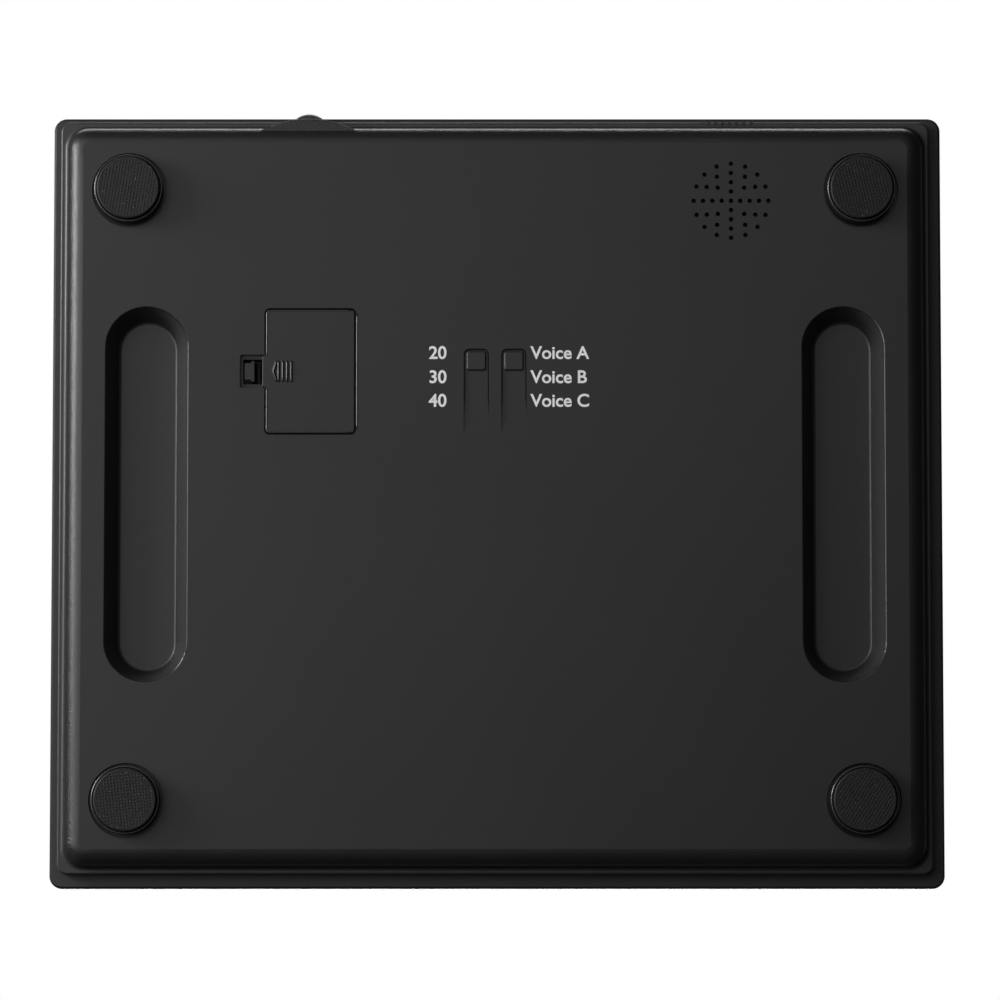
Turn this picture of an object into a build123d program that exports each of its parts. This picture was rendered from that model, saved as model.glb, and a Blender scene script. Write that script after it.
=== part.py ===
from build123d import *

import os
from math import cos, hypot, pi, radians, sin, tan

os.makedirs("parts", exist_ok=True)

# Glass platform: ground edges, black print on the underside with a clear display window
glass_width = 350.0
glass_depth = 304.0
glass_thick = 6.0
glass_corner = 5.0
glass_bevel = 0.9
print_thick = 0.2
bond_shift_x = -0.8
bond_shift_y = -1.4
tape_thick = 0.8
tape_width = 1.8
tape_margin = 0.2

# Base tray: a moulded pan with a stepped rim under the glass
foot_proud = 8.5
tray_height = 16.5
tray_wall = 2.2
tray_corner = 4.0
glass_overhang = 4.0
rim_height = 6.5
rim_round = 0.8
ledge_width = 2.8
ledge_round = 1.5
pan_draft = 0.8
pan_corner = 7.5
pan_floor_corner = 9.5
floor_round = 6.5
rib_thick = 1.6
rib_height = 4.0
rib_end_room = 71.0
rib_pitch = 35.0
rib_heel_inset = 53.0
rib_rows = 3

# Hand grips: two long hollows with sloped walls
grip_inset = 34.8
grip_length = 147.0
grip_width = 32.1
grip_depth = 12.0
grip_slope = 4.7
grip_wall = 1.8
grip_edge_round = 0.6
grip_floor_round = 1.4

# Feet, load cells and the carriers that bring the platform's load to them
foot_inset_x = 27.6
foot_inset_y = 28.35
cup_diameter = 26.5
cup_wall = 1.8
cup_lip_z = 2.5
cup_flange = 1.0
cup_flange_thick = 0.8
pad_diameter = 24.6
pad_inset = 1.6
pad_round = 0.7
pad_gap = 0.25
foot_gap = 1.4
foot_travel = 0.5
stud_diameter = 4.6
stud_gap = 0.2
stud_boss_diameter = 10.0
collar_wall = 1.4
collar_height = 1.2
cell_size = 34.0
cell_thick = 2.0
cell_corner = 3.0
cell_lift = 3.5
cell_cut_width = 16.0
cell_cut_length = 20.0
cell_slot = 2.4
seat_size = 4.6
gauge_length = 5.0
gauge_width = 3.6
gauge_thick = 0.3
carrier_size = 36.0
carrier_window = 24.0
carrier_ear_thick = 2.5
carrier_ear_radius = 4.2
carrier_boss_offset = 22.5

# Screws, bosses and boards
boss_diameter = 6.4
pilot_diameter = 2.8
pilot_depth = 6.0
screw_diameter = 2.6
screw_length = 7.0
screw_head_diameter = 5.0
screw_head_height = 1.6
screw_spare = 0.3
board_thick = 1.6

# Battery compartment: three AAA cells side by side behind a hinged door
battery_count = 3
battery_diameter = 10.5
battery_length = 44.5
battery_nub_diameter = 3.8
battery_nub_height = 0.8
battery_gap = 0.3
battery_lift = 0.4
bay_inset_x = 98.75
bay_inset_y = 99.9
bay_end_room = 0.9
bay_wall = 1.5
contact_room = 2.2
contact_thick = 0.4
contact_width = 8.0
contact_dimple = 5.4
leaf_width = 4.0
door_thick = 2.0
door_ledge = 1.1
door_gap = 0.35
door_corner = 1.5
door_edge_round = 0.3

# Door latch and its finger pocket, hinge tabs and finger ridges
tongue_reach = 1.45
tongue_width = 12.0
tongue_round = 1.0
latch_pocket_reach = 10.25
latch_pocket_width = 13.2
latch_pocket_depth = 2.0
latch_pocket_corner = 1.0
latch_well_reach = 9.0
latch_well_width = 9.8
latch_strip = 1.2
latch_width = 8.0
latch_span = 4.35
latch_rise = 5.6
latch_tab_reach = 3.7
latch_tab_width = 6.4
latch_tab_thick = 1.4
latch_tab_sunk = 0.2
latch_roof_room = 1.0
hinge_tab_width = 7.0
hinge_tab_spacing = 26.0
hinge_tab_reach = 2.0
hinge_tab_thick = 1.0
hinge_tab_gap = 0.3
hinge_root = 1.3
hinge_room = 0.7
ridge_count = 4
ridge_pitch = 1.66
ridge_width = 1.3
ridge_length = 8.4
ridge_height = 0.45
ridge_taper = 42.0
ridge_first = 4.85
chevron_tip = 2.2
chevron_depth = 1.35

# Two slide switches with three places each
switch_spacing = 14.7
switch_inset = 90.95
window_width = 9.85
window_length = 27.9
window_corner = 2.3
window_ramp = 6.0
bed_skin = 0.8
cap_width = 7.6
cap_length = 7.5
cap_corner = 0.9
cap_bevel = 0.45
cap_proud = 0.2
cap_gap = 1.05
strip_overlap = 1.2
strip_end_overlap = 1.0
strip_thick = 0.8
slide_gap = 0.1
wiper_width = 4.0
wiper_length = 10.0
wiper_thick = 0.3
switch_board_lift = 1.8
switch_board_margin = 4.6

# Speaker behind a ring grille, with vents through the rim beside it
speaker_inset_x = 78.5
speaker_inset_y = 32.6
grille_rings = 4
grille_pitch = 3.66
grille_hole = 1.8
grille_step = 4
speaker_diameter = 36.0
speaker_flange_thick = 0.8
speaker_gasket_thick = 1.0
speaker_gasket_width = 2.6
basket_diameter = 22.0
basket_height = 4.6
basket_wall = 0.8
magnet_diameter = 19.0
magnet_height = 4.4
cone_thick = 0.4
cone_gap = 0.5
cone_cap_diameter = 11.0
speaker_collar_gap = 0.3
speaker_collar_height = 2.0
stake_count = 3
stake_diameter = 3.2
stake_head_diameter = 5.8
stake_head_thick = 1.0
vent_count = 7
vent_pitch = 2.8
vent_width = 1.2
vent_depth = 1.3
vent_height = 4.4

# Volume thumbwheel behind a rounded ear on the far edge
wheel_x = 73.3
wheel_inset = 4.9
wheel_radius = 8.6
wheel_thick = 4.0
wheel_teeth = 64
tooth_depth = 0.6
wheel_gap = 0.3
wheel_room = 0.6
pin_diameter = 3.0
pin_play = 0.05
pot_diameter = 11.0
pot_thick = 1.4
pot_room = 0.6
ear_radius = 41.5
ear_proud = 0.3
ear_drop = 7.5
ear_thick = 1.4
ear_round = 0.6
shelf_margin = 1.2
lead_hole_diameter = 2.4

# Display and main board under the window
display_inset = 36.0
window_view_width = 72.0
window_view_depth = 29.0
lcd_width = 80.0
lcd_depth = 37.0
lcd_thick = 2.8
lcd_glass_gap = 0.2
lcd_lip = 2.0
holder_wall = 3.0
holder_gap = 0.2
backlight_thick = 2.0
board_side_room = 7.0
board_end_room = 3.5
board_lift = 7.0
board_hole_inset = 3.5
chip_sizes = ((12.0, 12.0, 1.8), (9.0, 7.0, 1.4), (6.0, 4.0, 1.2))
chip_pitch = 20.0

# Internal leads: routes are offsets from the foot, grip, board corner or piece that each lead passes
lead_diameter = 1.6
lead_floor_gap = 0.1
lead_solder_gap = 0.05
lead_bend_share = 0.45
lead_rise = 3.1
cell_lead_start = 11.0
front_lead_by_foot = ((24.0, 11.0), (31.9, 18.15), (39.9, 26.15))
front_lead_by_board = ((14.0, 6.0), (4.0, 10.0), (-8.0, 15.5))
rear_lead_by_foot = ((24.0, 11.0), (28.9, 22.65))
rear_lead_by_grip = ((5.65, -13.0), (11.15, -3.0))
rear_lead_by_board = ((48.0, 0.8), (10.0, 0.5), (-10.0, -1.5), (-17.0, 4.0))
speaker_lead_run = 16.0
speaker_lead_by_board = ((4.5, 0.4, 2.3), (-5.5, -0.1, 3.3))
battery_lead_run = 4.0
battery_lead_by_bay = (-8.0, 7.5, 1.9)
battery_lead_by_board = ((-21.75, -2.95, 0.9), (-26.75, 3.05, 3.1))
volume_lead_route = ((0.0, -3.4, 5.1), (-8.0, -9.0, 2.1), (-20.0, -16.0, 1.7), (-30.0, -20.0, 3.1))
switch_lead_run = 6.0
switch_lead_end = (3.0, 13.0)

# Half-width of the band in which an edge or face counts as lying on a level
level_band = 0.01

# Worked-out sizes and levels
floor_z = foot_proud
floor_top = floor_z + tray_wall
rim_z = floor_z + tray_height
ledge_z = rim_z - rim_height
print_z = rim_z + tape_thick
glass_z = print_z + print_thick
tray_width = glass_width - 2 * glass_overhang
tray_depth = glass_depth - 2 * glass_overhang
pan_width = tray_width - 2 * ledge_width
pan_depth = tray_depth - 2 * ledge_width
pan_floor_width = pan_width - 2 * pan_draft
pan_floor_depth = pan_depth - 2 * pan_draft
side_x = tray_width / 2
far_y = tray_depth / 2
rib_span = tray_width - 2 * rib_end_room
rib_first_y = rib_heel_inset - far_y + (rib_rows - 1) * rib_pitch
grip_x = side_x - grip_inset
foot_x = side_x - foot_inset_x
foot_y = far_y - foot_inset_y
bay_x = side_x - bay_inset_x
bay_y = far_y - bay_inset_y
switch_top_y = far_y - switch_inset
speaker_x = speaker_inset_x - side_x
speaker_y = far_y - speaker_inset_y
wheel_y = far_y - wheel_inset
ear_tip_y = far_y + ear_proud
display_y = far_y - display_inset
corner_signs = {
    "front_left": (-1, 1),
    "front_right": (1, 1),
    "rear_left": (-1, -1),
    "rear_right": (1, -1),
}
foot_points = {name: (sx * foot_x, sy * foot_y) for name, (sx, sy) in corner_signs.items()}
cell_z = floor_top + cell_lift
carrier_z = cell_z + cell_thick
carrier_boss_points = [
    point
    for sx, sy in corner_signs.values()
    for point in (
        (sx * (foot_x - carrier_boss_offset), sy * foot_y),
        (sx * foot_x, sy * (foot_y - carrier_boss_offset)),
    )
]

battery_pitch = battery_diameter + battery_gap
bay_width = battery_count * battery_pitch
bay_open_length = battery_length + 2 * bay_end_room
bay_length = battery_length + 2 * contact_room
door_width = bay_width + 2 * door_ledge
door_length = bay_open_length + 2 * door_ledge
door_top = floor_z + door_thick
battery_z = door_top + battery_lift + battery_diameter / 2
bay_top = battery_z + battery_diameter / 2 + battery_lift
door_right = bay_x + door_width / 2
hinge_x = bay_x - door_width / 2 - door_gap / 2
hinge_tab_z = door_top + hinge_tab_gap
latch_arch_z = door_top + latch_rise
latch_well_top = latch_arch_z + (latch_span + latch_strip) / 2 + latch_roof_room

cap_travel = window_length - cap_length - 2 * cap_gap
cap_rest_y = switch_top_y - cap_gap - cap_length / 2
strip_width = window_width + 2 * strip_overlap
strip_length = window_length + cap_travel + 2 * strip_end_overlap
strip_rest_y = switch_top_y - window_length / 2 + cap_travel / 2
bed_length = strip_length + cap_travel + 2 * slide_gap
bed_y = strip_rest_y - cap_travel / 2
bed_z = floor_z + bed_skin
strip_z = bed_z + slide_gap
strip_top = strip_z + strip_thick
switch_points = {"unit_switch": switch_spacing / 2, "language_switch": -switch_spacing / 2}
switch_board_z = floor_top + switch_board_lift
switch_board_width = switch_spacing + strip_width + 4 * switch_board_margin
switch_board_depth = bed_length
switch_boss_pitch_x = switch_board_width - 2 * switch_board_margin + boss_diameter / 2
switch_boss_pitch_y = switch_board_depth - 2 * board_hole_inset

speaker_flange_z = floor_top + speaker_gasket_thick
speaker_flange_top = speaker_flange_z + speaker_flange_thick
stake_radius = speaker_diameter / 2 + speaker_collar_gap + stake_diameter / 2

ear_z = ledge_z - ear_drop
ear_top = ledge_z + ear_thick
ear_back_y = pan_floor_depth / 2 - floor_round
shelf_front_y = pan_depth / 2 - tray_wall / 2
wheel_z = ear_top + wheel_gap

board_width = lcd_width + 2 * (holder_wall + board_side_room)
board_depth = lcd_depth + 2 * (holder_wall + board_end_room)
board_z = floor_top + board_lift
board_top = board_z + board_thick
lcd_top = print_z - lcd_glass_gap
lcd_z = lcd_top - lcd_thick
board_boss_pitch_x = board_width - 2 * board_hole_inset
board_boss_pitch_y = board_depth - 2 * board_hole_inset
lead_z = floor_top + lead_diameter / 2 + lead_floor_gap


def at_level(shapes, axis, level):
    return shapes.filter_by_position(axis, level - level_band, level + level_band)


# Platform glass: both faces end in a ground bevel
with BuildPart() as platform_glass:
    with BuildSketch(Plane.XY.offset(glass_z)):
        with Locations((bond_shift_x, bond_shift_y)):
            RectangleRounded(glass_width, glass_depth, glass_corner)
    extrude(amount=glass_thick)
    chamfer(platform_glass.faces().filter_by(Plane.XY).edges(), glass_bevel)
platform_glass.part.label = "platform_glass"
export_step(platform_glass.part, "parts/platform_glass.step")

# Black print on the glass's underside, open over the display
with BuildPart() as back_print:
    with BuildSketch(Plane.XY.offset(print_z)):
        with Locations((bond_shift_x, bond_shift_y)):
            RectangleRounded(
                glass_width - 2 * glass_bevel, glass_depth - 2 * glass_bevel, glass_corner - glass_bevel
            )
        with Locations((0, display_y)):
            Rectangle(window_view_width, window_view_depth, mode=Mode.SUBTRACT)
    extrude(amount=print_thick)
back_print.part.label = "back_print"
export_step(back_print.part, "parts/back_print.step")

# Foam tape on the rim, open where the thumbwheel comes through
with BuildPart() as bonding_tape:
    with BuildSketch(Plane.XY.offset(rim_z)):
        RectangleRounded(
            tray_width - 2 * tape_margin, tray_depth - 2 * tape_margin, tray_corner - tape_margin
        )
        tape_inner = tape_margin + tape_width
        RectangleRounded(
            tray_width - 2 * tape_inner,
            tray_depth - 2 * tape_inner,
            tray_corner - tape_inner,
            mode=Mode.SUBTRACT,
        )
        with Locations((wheel_x, wheel_y)):
            Circle(wheel_radius + wheel_room, mode=Mode.SUBTRACT)
    extrude(amount=tape_thick)
bonding_tape.part.label = "bonding_tape"
export_step(bonding_tape.part, "parts/bonding_tape.step")

# Base tray
with BuildPart() as base_tray:
    # Outer form: drawn-in pan walls, a broad floor edge, and the rim standing out over them
    with BuildSketch(Plane.XY.offset(floor_z)):
        RectangleRounded(pan_floor_width, pan_floor_depth, pan_floor_corner)
    with BuildSketch(Plane.XY.offset(ledge_z)):
        RectangleRounded(pan_width, pan_depth, pan_corner)
    loft()
    fillet(base_tray.faces().sort_by(Axis.Z)[0].edges(), floor_round)
    with BuildSketch(Plane.XY.offset(ledge_z)):
        RectangleRounded(tray_width, tray_depth, tray_corner)
    extrude(amount=rim_height)
    ledge_face = at_level(base_tray.faces(), Axis.Z, ledge_z)[0]
    fillet(ledge_face.inner_wires()[0].edges(), ledge_round)
    ledge_face = at_level(base_tray.faces(), Axis.Z, ledge_z)[0]
    fillet(ledge_face.outer_wire().edges(), rim_round)

    # Ear under the thumbwheel: a flat round-nosed block that stands out of the pan's far wall
    with BuildSketch(Plane.XY.offset(ear_z)):
        with Locations((wheel_x, ear_tip_y - ear_radius)):
            Circle(ear_radius)
        with Locations((wheel_x, ear_back_y - ear_radius)):
            Rectangle(2 * ear_radius, 2 * ear_radius, mode=Mode.SUBTRACT)
    extrude(amount=ear_drop + ear_thick)
    fillet(at_level(base_tray.edges(), Axis.Z, ear_z).filter_by(GeomType.CIRCLE), ear_round)

    # Hollow inside, stepped out over the ledge
    with BuildSketch(Plane.XY.offset(floor_top)):
        RectangleRounded(
            pan_floor_width - 2 * tray_wall, pan_floor_depth - 2 * tray_wall, pan_floor_corner - tray_wall
        )
    with BuildSketch(Plane.XY.offset(ledge_z + tray_wall)):
        RectangleRounded(pan_width - 2 * tray_wall, pan_depth - 2 * tray_wall, pan_corner - tray_wall)
    loft(mode=Mode.SUBTRACT)
    fillet(at_level(base_tray.edges(), Axis.Z, floor_top), floor_round - tray_wall)
    with BuildSketch(Plane.XY.offset(ledge_z + tray_wall)):
        RectangleRounded(tray_width - 2 * tray_wall, tray_depth - 2 * tray_wall, tray_corner - tray_wall)
    extrude(amount=rim_height - tray_wall, mode=Mode.SUBTRACT)

    # Hand grips: a sloped skin inside the pan, then the hollow itself
    for side in (-1, 1):
        for skin, mode in ((grip_wall, Mode.ADD), (0, Mode.SUBTRACT)):
            with BuildSketch(Plane.XY.offset(floor_z)):
                with Locations((side * grip_x, 0)):
                    SlotOverall(grip_length + 2 * skin, grip_width + 2 * skin, rotation=90)
            with BuildSketch(Plane.XY.offset(floor_z + grip_depth + skin)):
                with Locations((side * grip_x, 0)):
                    SlotOverall(
                        grip_length - 2 * grip_slope + 2 * skin,
                        grip_width - 2 * grip_slope + 2 * skin,
                        rotation=90,
                    )
            loft(mode=mode)
    fillet(at_level(base_tray.edges(), Axis.Z, floor_z + grip_depth), grip_floor_round)
    grip_rims = [
        edge
        for wire in base_tray.faces().sort_by(Axis.Z)[0].inner_wires()
        for edge in wire.edges()
    ]
    fillet(grip_rims, grip_edge_round)

    # Ribs across the heel half of the floor
    with BuildSketch(Plane.XY.offset(floor_top)):
        for row in range(rib_rows):
            with Locations((0, rib_first_y - row * rib_pitch)):
                Rectangle(rib_span, rib_thick)
        with Locations((0, rib_first_y - (rib_rows - 1) * rib_pitch / 2)):
            Rectangle(rib_thick, (rib_rows - 1) * rib_pitch)
    extrude(amount=rib_height)

    # Foot holes with a collar each, seats for the load cells and screw bosses for their carriers
    with BuildSketch(Plane.XY.offset(floor_top)):
        with Locations(*foot_points.values()):
            Circle(cup_diameter / 2 + foot_gap + collar_wall)
    extrude(amount=collar_height)
    with BuildSketch(Plane.XY.offset(floor_top)):
        for x, y in foot_points.values():
            with Locations((x, y)):
                with GridLocations(cell_size - seat_size, cell_size - seat_size, 2, 2):
                    Rectangle(seat_size, seat_size)
    extrude(amount=cell_lift)
    with BuildSketch(Plane.XY.offset(floor_top)):
        with Locations(*carrier_boss_points):
            Circle(boss_diameter / 2)
    extrude(amount=carrier_z - floor_top)
    with BuildSketch(Plane.XY.offset(carrier_z - pilot_depth)):
        with Locations(*carrier_boss_points):
            Circle(pilot_diameter / 2)
    extrude(amount=pilot_depth, mode=Mode.SUBTRACT)
    with BuildSketch(Plane.XY.offset(floor_z)):
        with Locations(*foot_points.values()):
            Circle(cup_diameter / 2 + foot_gap)
    extrude(amount=tray_wall + collar_height, mode=Mode.SUBTRACT)

    # Battery bay: its box, the latch well beside it, then the hollows
    with BuildSketch(Plane.XY.offset(door_top)):
        with Locations((bay_x, bay_y)):
            Rectangle(door_width + 2 * bay_wall, bay_length + 2 * bay_wall)
    extrude(amount=bay_top + bay_wall - door_top)
    with BuildSketch(Plane.XY.offset(door_top)):
        with Locations((door_right + (latch_pocket_reach + bay_wall) / 2, bay_y)):
            Rectangle(latch_pocket_reach + bay_wall, latch_pocket_width + 2 * bay_wall)
    extrude(amount=bay_wall)
    with BuildSketch(Plane.XY.offset(door_top)):
        with Locations((door_right + (latch_well_reach + bay_wall) / 2, bay_y)):
            Rectangle(latch_well_reach + bay_wall, latch_well_width + 2 * bay_wall)
    extrude(amount=latch_well_top + bay_wall - door_top)
    with BuildSketch(Plane.XY.offset(floor_z)):
        with Locations((bay_x, bay_y)):
            RectangleRounded(door_width + 2 * door_gap, door_length + 2 * door_gap, door_corner + door_gap)
        with Locations((door_right, bay_y)):
            Rectangle(2 * (tongue_reach + door_gap), tongue_width + 2 * door_gap)
    extrude(amount=door_thick, mode=Mode.SUBTRACT)
    with BuildSketch(Plane.XY.offset(floor_z)):
        with Locations((door_right + latch_pocket_reach / 2 + door_gap / 2, bay_y)):
            RectangleRounded(latch_pocket_reach - door_gap, latch_pocket_width, latch_pocket_corner)
    extrude(amount=latch_pocket_depth, mode=Mode.SUBTRACT)
    with BuildSketch(Plane.XY.offset(door_top)):
        with Locations((door_right + latch_well_reach / 2, bay_y)):
            Rectangle(latch_well_reach, latch_well_width)
    extrude(amount=latch_well_top - door_top, mode=Mode.SUBTRACT)
    with BuildSketch(Plane.XY.offset(door_top)):
        with Locations((bay_x, bay_y)):
            Rectangle(bay_width, bay_open_length)
    extrude(amount=bay_top - door_top, mode=Mode.SUBTRACT)
    with BuildSketch(Plane.XY.offset(door_top + battery_lift)):
        with Locations((bay_x, bay_y)):
            Rectangle(bay_width, bay_length)
    extrude(amount=bay_top - door_top - battery_lift, mode=Mode.SUBTRACT)
    # Slots above the floor skin in which the door's hinge tabs swing
    hinge_sweep = hypot(hinge_tab_reach, hinge_tab_z + hinge_tab_thick - floor_z) + hinge_room
    with BuildSketch(Plane.XZ.offset(-bay_y)):
        with Locations((hinge_x, floor_z)):
            Circle(hinge_sweep)
        with Locations((hinge_x, door_top - hinge_sweep)):
            Rectangle(2 * hinge_sweep, 2 * hinge_sweep, mode=Mode.SUBTRACT)
    hinge_slot = extrude(amount=hinge_tab_width / 2 + door_gap, both=True, mode=Mode.PRIVATE)
    with Locations((0, hinge_tab_spacing / 2, 0), (0, -hinge_tab_spacing / 2, 0)):
        add(hinge_slot, mode=Mode.SUBTRACT)

    # Switch windows: a thin bed for each sliding strip, and a window that ramps out at its heel end
    for x in switch_points.values():
        with BuildSketch(Plane.XY.offset(bed_z)):
            with Locations((x, bed_y)):
                Rectangle(strip_width + 2 * slide_gap, bed_length)
        extrude(amount=floor_top - bed_z, mode=Mode.SUBTRACT)
        with BuildSketch(Plane.XY.offset(floor_z)):
            with Locations((x, switch_top_y - window_length / 2)):
                Rectangle(window_width, window_length)
        extrude(amount=bed_skin, mode=Mode.SUBTRACT)
        with BuildSketch(Plane.YZ.offset(x)):
            with BuildLine():
                Polyline(
                    (switch_top_y - window_length, floor_z),
                    (switch_top_y - window_length - window_ramp, floor_z),
                    (switch_top_y - window_length, bed_z),
                    close=True,
                )
            make_face()
        extrude(amount=window_width / 2, both=True, mode=Mode.SUBTRACT)
    window_corners = at_level(base_tray.edges().filter_by(Axis.Z), Axis.Y, switch_top_y)
    fillet(window_corners.filter_by_position(Axis.Z, floor_z, bed_z), window_corner)
    with BuildSketch(Plane.XY.offset(floor_top)):
        with Locations((0, bed_y)):
            with GridLocations(switch_boss_pitch_x, switch_boss_pitch_y, 2, 2):
                Circle(boss_diameter / 2)
                Circle(pilot_diameter / 2, mode=Mode.SUBTRACT)
    extrude(amount=switch_board_lift)

    # Speaker: rings of holes, a locating collar and the heat stakes that hold its flange
    with BuildSketch(Plane.XY.offset(floor_z)):
        with Locations((speaker_x, speaker_y)):
            Circle(grille_hole / 2)
            for ring in range(1, grille_rings + 1):
                with PolarLocations(ring * grille_pitch, grille_step * ring):
                    Circle(grille_hole / 2)
    extrude(amount=tray_wall, mode=Mode.SUBTRACT)
    with BuildSketch(Plane.XY.offset(floor_top)):
        with Locations((speaker_x, speaker_y)):
            Circle(speaker_diameter / 2 + speaker_collar_gap + bay_wall)
            Circle(speaker_diameter / 2 + speaker_collar_gap, mode=Mode.SUBTRACT)
    extrude(amount=speaker_collar_height)
    for size, low, high in (
        (stake_diameter, floor_top, speaker_flange_top),
        (stake_head_diameter, speaker_flange_top, speaker_flange_top + stake_head_thick),
    ):
        with BuildSketch(Plane.XY.offset(low)):
            with Locations((speaker_x, speaker_y)):
                with PolarLocations(stake_radius, stake_count, start_angle=90):
                    Circle(size / 2)
        extrude(amount=high - low)

    # Vents: grooves up the rim's outer face that break through above the ledge
    with BuildSketch(Plane.XY.offset(ledge_z)):
        with Locations((speaker_x, tray_depth / 2)):
            with GridLocations(vent_pitch, 0, vent_count, 1):
                Rectangle(vent_width, 2 * vent_depth)
    extrude(amount=vent_height, mode=Mode.SUBTRACT)
    with BuildSketch(Plane.XY.offset(ledge_z + tray_wall)):
        with Locations((speaker_x, tray_depth / 2 - tray_wall / 2)):
            with GridLocations(vent_pitch, 0, vent_count, 1):
                Rectangle(vent_width, tray_wall)
    extrude(amount=vent_height - tray_wall, mode=Mode.SUBTRACT)

    # Shelf and round pocket for the thumbwheel
    with BuildSketch(Plane.XY.offset(ledge_z)):
        with Locations((wheel_x, wheel_y)):
            Circle(wheel_radius + shelf_margin)
        with Locations((wheel_x, shelf_front_y + wheel_radius)):
            Rectangle(4 * wheel_radius, 2 * wheel_radius, mode=Mode.SUBTRACT)
        with Locations((wheel_x, wheel_y + volume_lead_route[0][1])):
            Circle(lead_hole_diameter / 2, mode=Mode.SUBTRACT)
    extrude(amount=ear_thick)
    with BuildSketch(Plane.XY.offset(ear_top)):
        with Locations((wheel_x, wheel_y)):
            Circle(wheel_radius + wheel_room)
    extrude(amount=rim_z - ear_top, mode=Mode.SUBTRACT)

    # Bosses under the main board
    with BuildSketch(Plane.XY.offset(floor_top)):
        with Locations((0, display_y)):
            with GridLocations(board_boss_pitch_x, board_boss_pitch_y, 2, 2):
                Circle(boss_diameter / 2)
    extrude(amount=board_lift)
    with BuildSketch(Plane.XY.offset(board_z - pilot_depth)):
        with Locations((0, display_y)):
            with GridLocations(board_boss_pitch_x, board_boss_pitch_y, 2, 2):
                Circle(pilot_diameter / 2)
    extrude(amount=pilot_depth, mode=Mode.SUBTRACT)
base_tray.part.label = "base_tray"
export_step(base_tray.part, "parts/base_tray.step")

# Battery door: flush plate, tongue with the bent latch strip, hinge tabs and finger ridges
with BuildPart() as battery_door:
    with BuildSketch(Plane.XY.offset(floor_z)) as door_outline:
        with Locations((bay_x, bay_y)):
            RectangleRounded(door_width, door_length, door_corner)
        with Locations((door_right, bay_y)):
            Rectangle(2 * tongue_reach, tongue_width)
        tongue_roots = [
            corner
            for corner in door_outline.vertices()
            if abs(corner.X - door_right) < level_band and abs(corner.Y - bay_y) < tongue_width
        ]
        fillet(tongue_roots, tongue_round)
    extrude(amount=door_thick)
    fillet(battery_door.faces().sort_by(Axis.Z)[0].edges(), door_edge_round)
    latch_root_x = door_right + tongue_reach - latch_strip / 2
    latch_arch_x = latch_root_x + latch_span / 2
    latch_tip_x = latch_root_x + latch_span
    latch_tab_z = floor_z + latch_tab_sunk
    with BuildSketch(Plane.XZ.offset(-bay_y)):
        with Locations((latch_arch_x, latch_arch_z)):
            Circle((latch_span + latch_strip) / 2)
            Circle((latch_span - latch_strip) / 2, mode=Mode.SUBTRACT)
        with Locations((latch_arch_x, latch_arch_z - latch_span)):
            Rectangle(3 * latch_span, 2 * latch_span, mode=Mode.SUBTRACT)
        with Locations((latch_root_x, (door_top + latch_arch_z) / 2)):
            Rectangle(latch_strip, latch_arch_z - door_top)
        with Locations((latch_tip_x, (latch_tab_z + latch_arch_z) / 2)):
            Rectangle(latch_strip, latch_arch_z - latch_tab_z)
    extrude(amount=latch_width / 2, both=True)
    with BuildSketch(Plane.XY.offset(latch_tab_z)):
        with Locations((latch_tip_x - latch_strip / 2 + latch_tab_reach / 2, bay_y)):
            Rectangle(latch_tab_reach, latch_tab_width)
    extrude(amount=latch_tab_thick)
    hinge_edge = bay_x - door_width / 2
    hinge_tip = hinge_x - hinge_tab_reach
    for tab_y in (bay_y - hinge_tab_spacing / 2, bay_y + hinge_tab_spacing / 2):
        with BuildSketch(Plane.XZ.offset(-tab_y)):
            with BuildLine():
                Polyline(
                    (hinge_edge, door_top),
                    (hinge_edge + hinge_root, door_top),
                    (hinge_edge + hinge_root, hinge_tab_z + hinge_tab_thick),
                    (hinge_tip, hinge_tab_z + hinge_tab_thick),
                    (hinge_tip, hinge_tab_z),
                    (hinge_edge, hinge_tab_z),
                    close=True,
                )
            make_face()
        extrude(amount=hinge_tab_width / 2, both=True)
    with BuildSketch(Plane.XY.offset(floor_z)):
        for ridge in range(ridge_count):
            with Locations((door_right - ridge_first - ridge * ridge_pitch, bay_y)):
                Rectangle(ridge_width, ridge_length)
        with BuildLine():
            tip_x = door_right - chevron_tip
            Polyline(
                (tip_x, bay_y),
                (tip_x - chevron_depth, bay_y + ridge_length / 2),
                (tip_x - chevron_depth - ridge_width, bay_y + ridge_length / 2),
                (tip_x - ridge_width, bay_y),
                (tip_x - chevron_depth - ridge_width, bay_y - ridge_length / 2),
                (tip_x - chevron_depth, bay_y - ridge_length / 2),
                close=True,
            )
        make_face()
    extrude(amount=-ridge_height, taper=ridge_taper)
battery_door.part.label = "battery_door"
export_step(battery_door.part, "parts/battery_door.step")

# Battery cells, laid nub to tail
battery_points = [
    (bay_x + (i - (battery_count - 1) / 2) * battery_pitch, 1 if i % 2 == 0 else -1)
    for i in range(battery_count)
]
for index, (x, facing) in enumerate(battery_points, start=1):
    with BuildPart() as battery_cell:
        tail = Plane((x, bay_y - facing * battery_length / 2, battery_z), (1, 0, 0), (0, facing, 0))
        with BuildSketch(tail):
            Circle(battery_diameter / 2)
        extrude(amount=battery_length - battery_nub_height)
        with BuildSketch(tail.offset(battery_length - battery_nub_height)):
            Circle(battery_nub_diameter / 2)
        extrude(amount=battery_nub_height)
    battery_cell.part.label = f"battery_cell_{index}"
    export_step(battery_cell.part, f"parts/battery_cell_{index}.step")

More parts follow.
